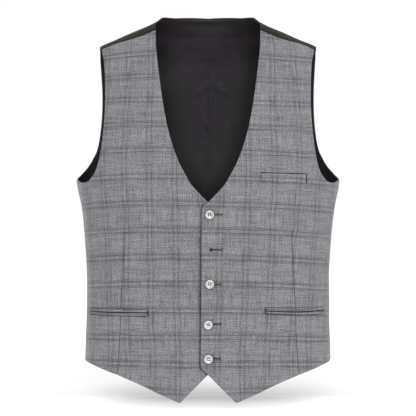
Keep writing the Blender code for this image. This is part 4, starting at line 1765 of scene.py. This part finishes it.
def strip_grid(across: Array, low: Array, high: Array, up_cells: int) -> Array:
    """A narrow grid on the front between two lines.

    Args:
        across: the places of its columns.
        low: the lower line's heights there.
        high: the upper line's heights there.
        up_cells: the number of even cells between them.

    Returns:
        The grid's points on the form.
    """
    shares = graded(float(np.mean(high - low)), up_cells)
    shares = shares / shares[-1]
    rows = [np.stack([across, low + share * (high - low)], axis=-1) for share in shares]
    return np.stack([BODY.onto(BODY.on_face(row, Face.FRONT)) for row in rows])


def strip_edges(grid: Array, radius: float) -> list[RoundedEdges]:
    """All four edges of a strip, rounded."""
    return [RoundedEdges([grid[0], grid[-1], grid[:, 0], grid[:, -1]], radius)]


def pocket_mouth_and_shade(name: str, side: Side, grid: Array) -> Piece:
    """Builds and dresses the dark strip that closes a pocket's mouth and round it stands for painted shade.

    Args:
        name: the piece's name.
        side: the front that it lies on.
        grid: the strip's points on the form.

    Returns:
        The strip's object.
    """
    edges = strip_edges(grid, MOUTH_RADIUS)
    shell = Shell(name, [grid], side, lambda points: WORN.fronts(points, side) + MOUTH_LIFT, MOUTH_WALL, edges)
    piece = shell.build()
    shell.lay_cloth(plain_lay)
    dress(piece, "lining", finishes().mouth, finishes().mouth)
    return piece


@dataclass(frozen=True)
class Bead:
    """A stitch: a bead of thread by its place, its length's angle from the level, its half sizes and its lift."""

    across: float
    height: float
    turn: float
    size: Row
    raised: float = 0.0
    dark: bool = False


@dataclass
class StitchRow:
    """Stitches on a front's surface, all in one piece."""

    name: str
    side: Side
    beads: list[Bead] = field(default_factory=list)

    def build(self) -> Piece:
        """Makes the piece of all the beads.

        Returns:
            The object, with the dark beads on material index 1.
        """
        rows = [(bead.across, bead.height) for bead in self.beads]
        places, normals = WORN.on_front(rows, self.side)
        mesh = bmesh.new()
        for bead, place, normal in zip(self.beads, places, normals):
            place, normal = Vector(place), Vector(normal)
            level = Vector((0, 0, 1)).cross(normal).normalized()
            along = math.cos(bead.turn) * level + math.sin(bead.turn) * normal.cross(level)
            basis = Matrix((along, normal.cross(along), normal)).transposed().to_4x4()
            where = Matrix.Translation(place + bead.raised * normal) @ basis @ Matrix.Diagonal((*bead.size, 1))
            made = bmesh.ops.create_uvsphere(mesh, u_segments=8, v_segments=5, radius=1, matrix=where)
            for face in {face for vertex in made["verts"] for face in vertex.link_faces}:
                face.material_index = int(bead.dark)
        bmesh.ops.recalc_face_normals(mesh, faces=mesh.faces)
        piece = make_object(self.name, mesh)
        # the dark beads: thread in the pockets' bars, and painted shade in the buttonholes' eyes and slits
        dress(piece, "thread", finishes().hole_thread, finishes().mouth)
        return piece


@dataclass
class ChestWelt:
    """The breast welt on the wearer's left, with the pocket's mouth behind its top fold."""

    #   across, top and foot of each end
    start: Row = (0.0846, -0.2541, -0.2677)
    end: Row = (0.1580, -0.2558, -0.2698)
    wall: float = 0.0016
    fold: float = 0.0007
    #   how high the top fold rolls, and how far down
    roll_height: float = 0.0003
    roll_width: float = 0.004
    cells: int = 40
    up_cells: int = 8
    #   how far the mouth's dark strip shows past the ends and the top as painted shade, and how far in it starts at
    #   the foot
    mouth_ends: Row = (0.0005, 0.0019)
    mouth: float = 0.0014
    mouth_foot: float = 0.0004
    tack: Row = (0.00050, 0.00032, 0.00026)
    tack_pitch: float = 0.00105
    first_tack: float = 0.0008
    tack_inset: float = 0.0006

    def height(self, share: Array, corner: int) -> Array:
        """The welt's top, as corner 1, or its foot, as corner 2, at these shares of its length."""
        return self.start[corner] + share * (self.end[corner] - self.start[corner])

    def share(self, across: Array) -> Array:
        """These places across as shares of the welt's length."""
        return (across - self.start[0]) / (self.end[0] - self.start[0])

    def lift(self, points: Array) -> Array:
        """Where the welt's outer face lies, with the roll of its top fold."""
        below = (self.height(self.share(points[:, 0]), 1) - points[:, 2]) / self.roll_width
        return self.roll_height * np.exp(-(below**2)) + WORN.fronts(points, Side.LEFT) + WORN.gap + self.wall

    def build(self) -> list[Piece]:
        """Builds and dresses the welt, its mouth and the stitches at its ends.

        Returns:
            The three objects.
        """
        across = self.start[0] + graded(self.end[0] - self.start[0], self.cells)
        top, foot = (self.height(self.share(across), corner) for corner in (1, 2))
        grid = strip_grid(across, foot, top, self.up_cells)
        shell = Shell("chest_welt_cloth", [grid], Side.LEFT, self.lift, self.wall, strip_edges(grid, self.fold))
        piece = shell.build()
        shell.lay_cloth(CHECK_LAYS[Side.LEFT].on_cloth)
        dress(piece, "wool_check", finishes().wool, finishes().wool)
        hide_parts("chest_welt")

        # the dark mouth strip: lining in the opening, painted shade above the top fold and past the ends
        wide = np.concatenate([[across[0] - self.mouth_ends[0]], across, [across[-1] + self.mouth_ends[1]]])
        low, high = np.interp(wide, across, foot) + self.mouth_foot, np.interp(wide, across, top) + self.mouth
        strip = strip_grid(wide, low, high, self.up_cells)
        mouth = pocket_mouth_and_shade("chest_welt_mouth_and_shade", Side.LEFT, strip)

        tacks = StitchRow("chest_welt_stitches", Side.LEFT)
        for (x, high, lowest), inset in ((self.start, self.tack_inset), (self.end, -self.tack_inset)):
            for height in np.arange(lowest + self.first_tack, high, self.tack_pitch):
                tacks.beads.append(Bead(x + inset, height, math.pi / 2, self.tack, WORN.gap + self.wall))
        return [piece, mouth, tacks.build()]


@dataclass
class JettedPocket:
    """A lower pocket: two jets, the dark mouth between them, painted shadow beside them, and a stitched bar at each
    end.
    """

    side: Side
    #   across, top, mouth and foot, at the inner end, the middle and the outer end
    table: Rows
    mouth_width: float
    cells: int = 56
    jet_cells: int = 5
    mouth_cells: int = 9
    mouth_end: float = 0.8
    wall: float = 0.0012
    fold: float = 0.00055
    crown: float = 0.0004
    #   how far the dark strip shows below the jets as painted shadow, and what share of that above them
    ditch: float = 0.0011
    ditch_above: float = 0.5
    #   the end bars' stitches: their half sizes, pitch, and first and last places
    bar: Row = (0.0011, 0.0003, 0.00028)
    bar_pitch: float = 0.00062
    bar_ends: Row = (0.0010, 0.0006)

    def jet(self, place: str, across: Array, low: Array, high: Array) -> Piece:
        """Builds and dresses a jet.

        Args:
            place: the word for it in its name.
            across: the places of its columns.
            low: its foot's heights there.
            high: its top's heights there.

        Returns:
            The jet's object.
        """

        def lift(points: Array) -> Array:
            """Where the jet's outer face lies, which is proud along the middle.

            Args:
                points: points on the left half of the form.

            Returns:
                Its distance from the form at each point.
            """
            middle = np.interp(np.abs(points[:, 0]), across, (low + high) / 2)
            half = np.interp(np.abs(points[:, 0]), across, (high - low) / 2)
            proud = 1 - np.clip(np.abs(points[:, 2] - middle) / half, 0, 1) ** 2
            return WORN.fronts(points, self.side) + WORN.gap + self.wall + self.crown * proud

        grid = strip_grid(across, low, high, self.jet_cells)
        name = f"pocket_{self.side.word}_{place}"
        shell = Shell(f"{name}_fold", [grid], self.side, lift, self.wall, strip_edges(grid, self.fold))
        piece = shell.build()
        shell.lay_cloth(CHECK_LAYS[self.side].on_cloth)
        dress(piece, "wool_check", finishes().wool, finishes().wool)
        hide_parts(f"{name}_jet")
        return piece

    def build(self) -> list[Piece]:
        """Builds and dresses the jets, the mouth and the end bars.

        Returns:
            The four objects.
        """
        held = np.array(self.table)
        line = edge(BODY.on_face(held[:, [0, 2]], Face.FRONT), self.cells)
        across = line[:, 0]
        top, middle, foot = SmoothCurve(held[:, 0], held[:, 1:])(across).T
        bow = np.sin(np.pi * shares_along(line))
        opening = self.mouth_width * (self.mouth_end + (1 - self.mouth_end) * bow)
        upper = self.jet("upper", across, middle + opening / 2, top)
        lower = self.jet("lower", across, foot, middle - opening / 2)

        # the dark strip: lining in the mouth, painted shadow in the ditches under and above the jets
        low, high = foot - self.ditch, top + self.ditch_above * self.ditch
        strip = strip_grid(across[2:-2], low[2:-2], high[2:-2], self.mouth_cells)
        mouth = pocket_mouth_and_shade(f"pocket_{self.side.word}_mouth", self.side, strip)

        bars = StitchRow(f"pocket_{self.side.word}_bars", self.side)
        raised = WORN.gap + self.wall + 0.5 * self.crown
        first, last = self.bar_ends
        for x, high, _, lowest in (self.table[0], self.table[-1]):
            for height in np.arange(lowest + first, high - last, self.bar_pitch):
                bars.beads.append(Bead(self.side.value * x, height, 0.0, self.bar, raised, True))
        return [upper, lower, mouth, bars.build()]


# ---- buttons and buttonholes


@dataclass
class Button:
    """A turned four-hole pearl button, sewn on with two bars of thread."""

    name: str
    across: float
    height: float
    radius: float = 0.0075
    thickness: float = 0.0030
    rim_width: float = 0.0021
    dish: float = 0.0008
    hole_radius: float = 0.00100
    hole_offset: float = 0.0017
    steps: int = 56
    drill_steps: int = 20
    sharp_angle: float = 0.6
    turn: float = 0.0
    #   the holes that the thread joins, a strand's half sizes and its place, and the thread in a hole
    strands: tuple[tuple[int, int], ...] = ((0, 1), (2, 3), (1, 2))
    strand: Row = (0.0004, 0.00030, 0.00026)
    strand_beside: float = 0.00028
    strand_lift: float = 0.00006
    plug_radius: float = 0.00092
    plug_shares: Row = (0.36, 0.30)

    def profile(self) -> Rows:
        """Half the button's section.

        Returns:
            Rows of (radius, height), from the middle of its face round the rim to the middle of its back.
        """
        inner, face = self.radius - self.rim_width, self.thickness - self.dish
        return (
            (0.0, face),
            (0.5 * inner, face),
            (inner - 0.0010, face + 0.00002),
            (inner - 0.0005, face + 0.00022),
            (inner, self.thickness - 0.00015),
            (inner + 0.0005, self.thickness),
            (self.radius - 0.0008, self.thickness - 0.00003),
            (self.radius - 0.0003, self.thickness - 0.00035),
            (self.radius, self.thickness - 0.0011),
            (self.radius - 0.0001, 0.0010),
            (self.radius - 0.0007, 0.0003),
            (self.radius - 0.0018, 0.0),
            (0.0, 0.0),
        )

    def seat(self) -> Matrix:
        """Where the button stands: off the form by half the lap and a gap.

        Returns:
            The button's place and turn.
        """
        on_form = BODY.on_face([(self.across, self.height)], Face.FRONT)
        normal = BODY.outward(on_form)[0]
        facing = Vector(normal).to_track_quat("Z", "Y").to_matrix().to_4x4()
        off_form = WORN.lap_lift + WORN.gap
        spin = Matrix.Rotation(self.turn, 4, "Z")
        return Matrix.Translation(Vector(on_form[0] + off_form * normal)) @ facing @ spin

    def holes(self) -> list[tuple[float, float]]:
        """The middles of the four holes."""
        corners = ((-1, -1), (-1, 1), (1, 1), (1, -1))
        return [(x * self.hole_offset, y * self.hole_offset) for x, y in corners]

    def turned(self) -> bmesh.types.BMesh:
        """Turns the button's body and drills it.

        Returns:
            Its bmesh, at the origin.
        """
        mesh = bmesh.new()
        corners = [mesh.verts.new((radius, 0, height)) for radius, height in self.profile()]
        edges = [mesh.edges.new(pair) for pair in zip(corners, corners[1:])]
        section = {"geom": corners + edges, "cent": (0, 0, 0), "axis": (0, 0, 1)}
        bmesh.ops.spin(mesh, **section, angle=2 * math.pi, steps=self.steps, use_merge=True)
        bmesh.ops.remove_doubles(mesh, verts=mesh.verts, dist=WELD)
        bmesh.ops.recalc_face_normals(mesh, faces=mesh.faces)
        body = make_object("button_blank", mesh)
        drill_mesh = bmesh.new()
        ends = {"radius1": self.hole_radius, "radius2": self.hole_radius, "depth": 3 * self.thickness}
        for x, y in self.holes():
            place = Matrix.Translation((x, y, self.thickness / 2))
            bmesh.ops.create_cone(drill_mesh, cap_ends=True, segments=self.drill_steps, matrix=place, **ends)
        drill = make_object("button_drill", drill_mesh)
        cut = body.modifiers.new("holes", "BOOLEAN")
        cut.operation, cut.solver, cut.object = "DIFFERENCE", "EXACT", drill
        finished = bmesh.new()
        finished.from_mesh(body.evaluated_get(bpy.context.evaluated_depsgraph_get()).to_mesh())
        for spare in (body, drill):
            data = spare.data
            bpy.data.objects.remove(spare, do_unlink=True)
            bpy.data.meshes.remove(data)
        return finished

    def build(self) -> list[Piece]:
        """Builds and dresses the button and its thread.

        Returns:
            The two objects.
        """
        seat = self.seat()
        mesh = self.turned()
        rings = np.array([vertex.co.xy.length for vertex in mesh.verts]) / self.radius
        bmesh.ops.transform(mesh, matrix=seat, verts=mesh.verts)
        piece = make_object(f"{self.name}_pearl", mesh)
        # the rings place the rim's painted shade
        mark(piece, RING_MAP, rings)
        piece.data.set_sharp_from_angle(angle=self.sharp_angle)
        dress(piece, "button_pearl", finishes().pearl)
        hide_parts(self.name)

        threads = bmesh.new()
        holes = [Vector((x, y, self.thickness - self.dish)) for x, y in self.holes()]
        past_hole, *section = self.strand
        for first, second in self.strands:
            along = holes[second] - holes[first]
            turn = Matrix.Rotation(math.atan2(along.y, along.x), 4, "Z")
            for beside in (-self.strand_beside, self.strand_beside):
                size = (along.length / 2 + past_hole, *section)
                where = Matrix.Translation((holes[first] + holes[second]) / 2) @ turn
                where @= Matrix.Translation((0, beside, self.strand_lift)) @ Matrix.Diagonal((*size, 1))
                bmesh.ops.create_uvsphere(threads, u_segments=12, v_segments=8, radius=1, matrix=seat @ where)
        half, middle = (share * self.thickness for share in self.plug_shares)
        for x, y in self.holes():
            size = (self.plug_radius, self.plug_radius, half)
            where = Matrix.Translation((x, y, middle)) @ Matrix.Diagonal((*size, 1))
            bmesh.ops.create_uvsphere(threads, u_segments=12, v_segments=8, radius=1, matrix=seat @ where)
        thread = make_object(f"{self.name}_thread", threads)
        dress(thread, "thread", finishes().button_thread)
        return [piece, thread]


@dataclass
class Buttonhole:
    """A worked keyhole buttonhole: an eye, a slit edged with stitches, and a bar at its end."""

    name: str
    height: float
    eye: float = 0.0051
    end: float = 0.0215
    drop: float = 0.0
    eye_radius: float = 0.0022
    slit: float = 0.00040
    #   the painted shade in the eye and the slit, drawn as dark beads: its half thickness and its lift
    dark_thickness: float = 0.00018
    dark_lift: float = 0.00004
    #   the stitches' half sizes, pitch, lift and unevenness, and the turns between which they go round the eye
    stitch: Row = (0.00088, 0.00030, 0.00028)
    pitch: float = 0.00064
    stitch_lift: float = 0.00008
    wobble: float = 0.00006
    eye_turns: Row = (0.24, 1.76)
    #   the bar's height, and its threads' half sizes, pitch and lift
    bar_height: float = 0.0062
    bar: Row = (0.00085, 0.00034, 0.00036)
    bar_pitch: float = 0.00058
    bar_lift: float = 0.00014
    margin: float = 0.0003

    def height_at(self, across: float) -> float:
        """The slit's height at this place across."""
        return self.height + self.drop * (across - self.eye) / (self.end - self.eye)

    def build(self) -> Piece:
        """Builds and dresses the buttonhole.

        Returns:
            Its object.
        """
        # dark beads in the eye and along the slit: painted shade in the openings
        bowl = (self.eye_radius, self.eye_radius, self.dark_thickness)
        beads = [Bead(self.eye, self.height, 0.0, bowl, self.dark_lift, True)]
        middle, half = (self.eye + self.end) / 2, (self.end - self.eye) / 2
        lean = math.atan2(self.drop, self.end - self.eye)
        for step in np.linspace(-0.8, 0.8, 5):
            across = middle + step * half
            size = (0.3 * half, self.slit * (0.95 - 0.45 * step), self.dark_thickness)
            beads.append(Bead(across, self.height_at(across), lean, size, self.dark_lift, True))
        reach = self.eye_radius + self.stitch[0] * 0.75
        for turn in np.linspace(*self.eye_turns, 17):
            x, z = self.eye + reach * math.cos(turn * math.pi), self.height + reach * math.sin(turn * math.pi)
            beads.append(Bead(x, z, turn * math.pi, self.stitch, self.stitch_lift))
        start = self.eye + self.eye_radius + 2 * self.margin
        for i, across in enumerate(np.arange(start, self.end - self.margin, self.pitch)):
            for way in (-1, 1):
                wobble = self.wobble * math.sin(2.3 * i + way)
                z = self.height_at(across) + way * (self.slit + 0.8 * self.stitch[0]) + wobble
                beads.append(Bead(across, z, math.pi / 2 + 0.08 * way, self.stitch, self.stitch_lift))
        for z in np.arange(-self.bar_height / 2, self.bar_height / 2 + 1e-6, self.bar_pitch):
            beads.append(Bead(self.end + self.margin, self.height_at(self.end) + z, 0.0, self.bar, self.bar_lift))
        return StitchRow(self.name, Side.LEFT, beads).build()


# ---- the studio


@dataclass(frozen=True)
class Lamp:
    """A soft round lamp, by its place, size and watts."""

    place: Row
    size: float
    watts: float


@dataclass
class Studio:
    """A pale floor, a white surround, soft lamps and the camera."""

    floor_height: float = -0.632
    floor_size: float = 40.0
    surround: float = 1.0
    camera_place: Row = (0.0, -3.0, -0.31)
    lens: float = 156.0
    sensor: float = 36.0
    lamps: tuple[Lamp, ...] = (
        Lamp((0.10, -3.4, 0.00), 0.9, 43.0),
        Lamp((2.0, -2.4, 0.6), 0.9, 17.0),
        Lamp((-1.9, 2.6, 0.6), 0.8, 30.0),
    )
    target: Row = (0.0, 0.0, -0.32)

    def build(self) -> None:
        """Builds the floor, the surround, the lamps and the camera."""
        self.lay_floor()
        self.light()
        self.place_camera()

    def lay_floor(self) -> None:
        """Lays the floor."""
        mesh = bmesh.new()
        bmesh.ops.create_grid(mesh, x_segments=1, y_segments=1, size=self.floor_size / 2)
        bmesh.ops.translate(mesh, vec=(0, 0, self.floor_height), verts=mesh.verts)
        floor = make_object("studio_floor", mesh)
        floor.data.materials.append(FloorPaint().material())
        floor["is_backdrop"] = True

    def light(self) -> None:
        """Sets up the white surround and the lamps."""
        scene = bpy.context.scene
        scene.view_settings.view_transform = "Standard"
        world = bpy.data.worlds.new("studio_surround")
        world.use_nodes = True
        background = world.node_tree.nodes["Background"]
        background.inputs["Color"].default_value = (1, 1, 1, 1)
        background.inputs["Strength"].default_value = self.surround
        scene.world = world

        for number, lamp in enumerate(self.lamps, start=1):
            light = bpy.data.lights.new(f"soft_lamp_{number}", "AREA")
            light.shape, light.size, light.energy = "DISK", lamp.size, lamp.watts
            holder = bpy.data.objects.new(light.name, light)
            holder.location = lamp.place
            aim = Vector(self.target) - Vector(lamp.place)
            holder.rotation_euler = aim.to_track_quat("-Z", "Y").to_euler()
            scene.collection.objects.link(holder)

    def place_camera(self) -> None:
        """Stands the camera level in front of the waistcoat."""
        scene = bpy.context.scene
        lens = bpy.data.cameras.new("camera")
        lens.lens, lens.sensor_width = self.lens, self.sensor
        lens.dof.use_dof = False
        camera = bpy.data.objects.new("camera", lens)
        camera.location = self.camera_place
        camera.rotation_euler = (math.radians(90), 0, 0)
        scene.collection.objects.link(camera)
        scene.camera = camera


# ---- the waistcoat


@dataclass
class Waistcoat:
    """All the pieces, in the order that they are made."""

    pockets: tuple[JettedPocket, ...] = (
        JettedPocket(
            Side.LEFT,
            (
                (0.0921, -0.4704, -0.4757, -0.4797),
                (0.1555, -0.4718, -0.4783, -0.4829),
                (0.1870, -0.4727, -0.4772, -0.4822),
            ),
            mouth_width=0.0017,
        ),
        JettedPocket(
            Side.RIGHT,
            (
                (0.0966, -0.4733, -0.4786, -0.4838),
                (0.1500, -0.4738, -0.4789, -0.4840),
                (0.1925, -0.4742, -0.4790, -0.4838),
            ),
            mouth_width=0.0016,
        ),
    )
    buttons: tuple[Button, ...] = (
        Button("button_1", 0.0027, -0.3205, turn=0.05),
        Button("button_3", 0.0027, -0.4324, turn=-0.2, strands=((0, 1), (1, 2), (2, 3), (3, 0))),
        Button("button_4", 0.0003, -0.4976, turn=0.35, strands=((0, 2), (1, 3))),
        Button("button_5", 0.0006, -0.5524, turn=-0.1, strands=((0, 3), (1, 2), (0, 1))),
    )
    buttonholes: tuple[Buttonhole, ...] = (
        Buttonhole("buttonhole_1", -0.3204, end=0.0220),
        Buttonhole("buttonhole_2", -0.3768, end=0.0225),
        Buttonhole("buttonhole_3", -0.4327, end=0.0206),
        Buttonhole("buttonhole_4", -0.4962, end=0.0204),
        Buttonhole("buttonhole_5", -0.5508, end=0.0198, drop=-0.0006),
    )

    def build(self) -> None:
        """Builds and dresses every piece."""
        for side in Side:
            panel = BackPanel(side)
            panel.build()
            lining = panel.build_lining()
        fronts = {}
        for side in Side:
            fronts[side] = FrontPanel(side).build()
        welt, mouth, stitches = ChestWelt().build()
        on_front = {side: [] for side in Side}
        for pocket in self.pockets:
            on_front[pocket.side] += pocket.build()
        for hole in self.buttonholes:
            on_front[Side.LEFT].append(hole.build())
        for button in self.buttons:
            button.build()
        for side, front in fronts.items():
            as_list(on_front[side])


def write_sizes() -> None:
    """Works out the CAD model's box and the visual model's box."""
    boxes = {"cad": CAD_BOX, "visual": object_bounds()}
    {name: [list(corner) for corner in box] for name, box in boxes.items()}


def main() -> None:
    """Builds the waistcoat in its studio."""
    logging.basicConfig(level=logging.INFO, format="%(message)s")
    Waistcoat().build()
    Studio().build()
    write_sizes()


if __name__ == "__main__":
    main()
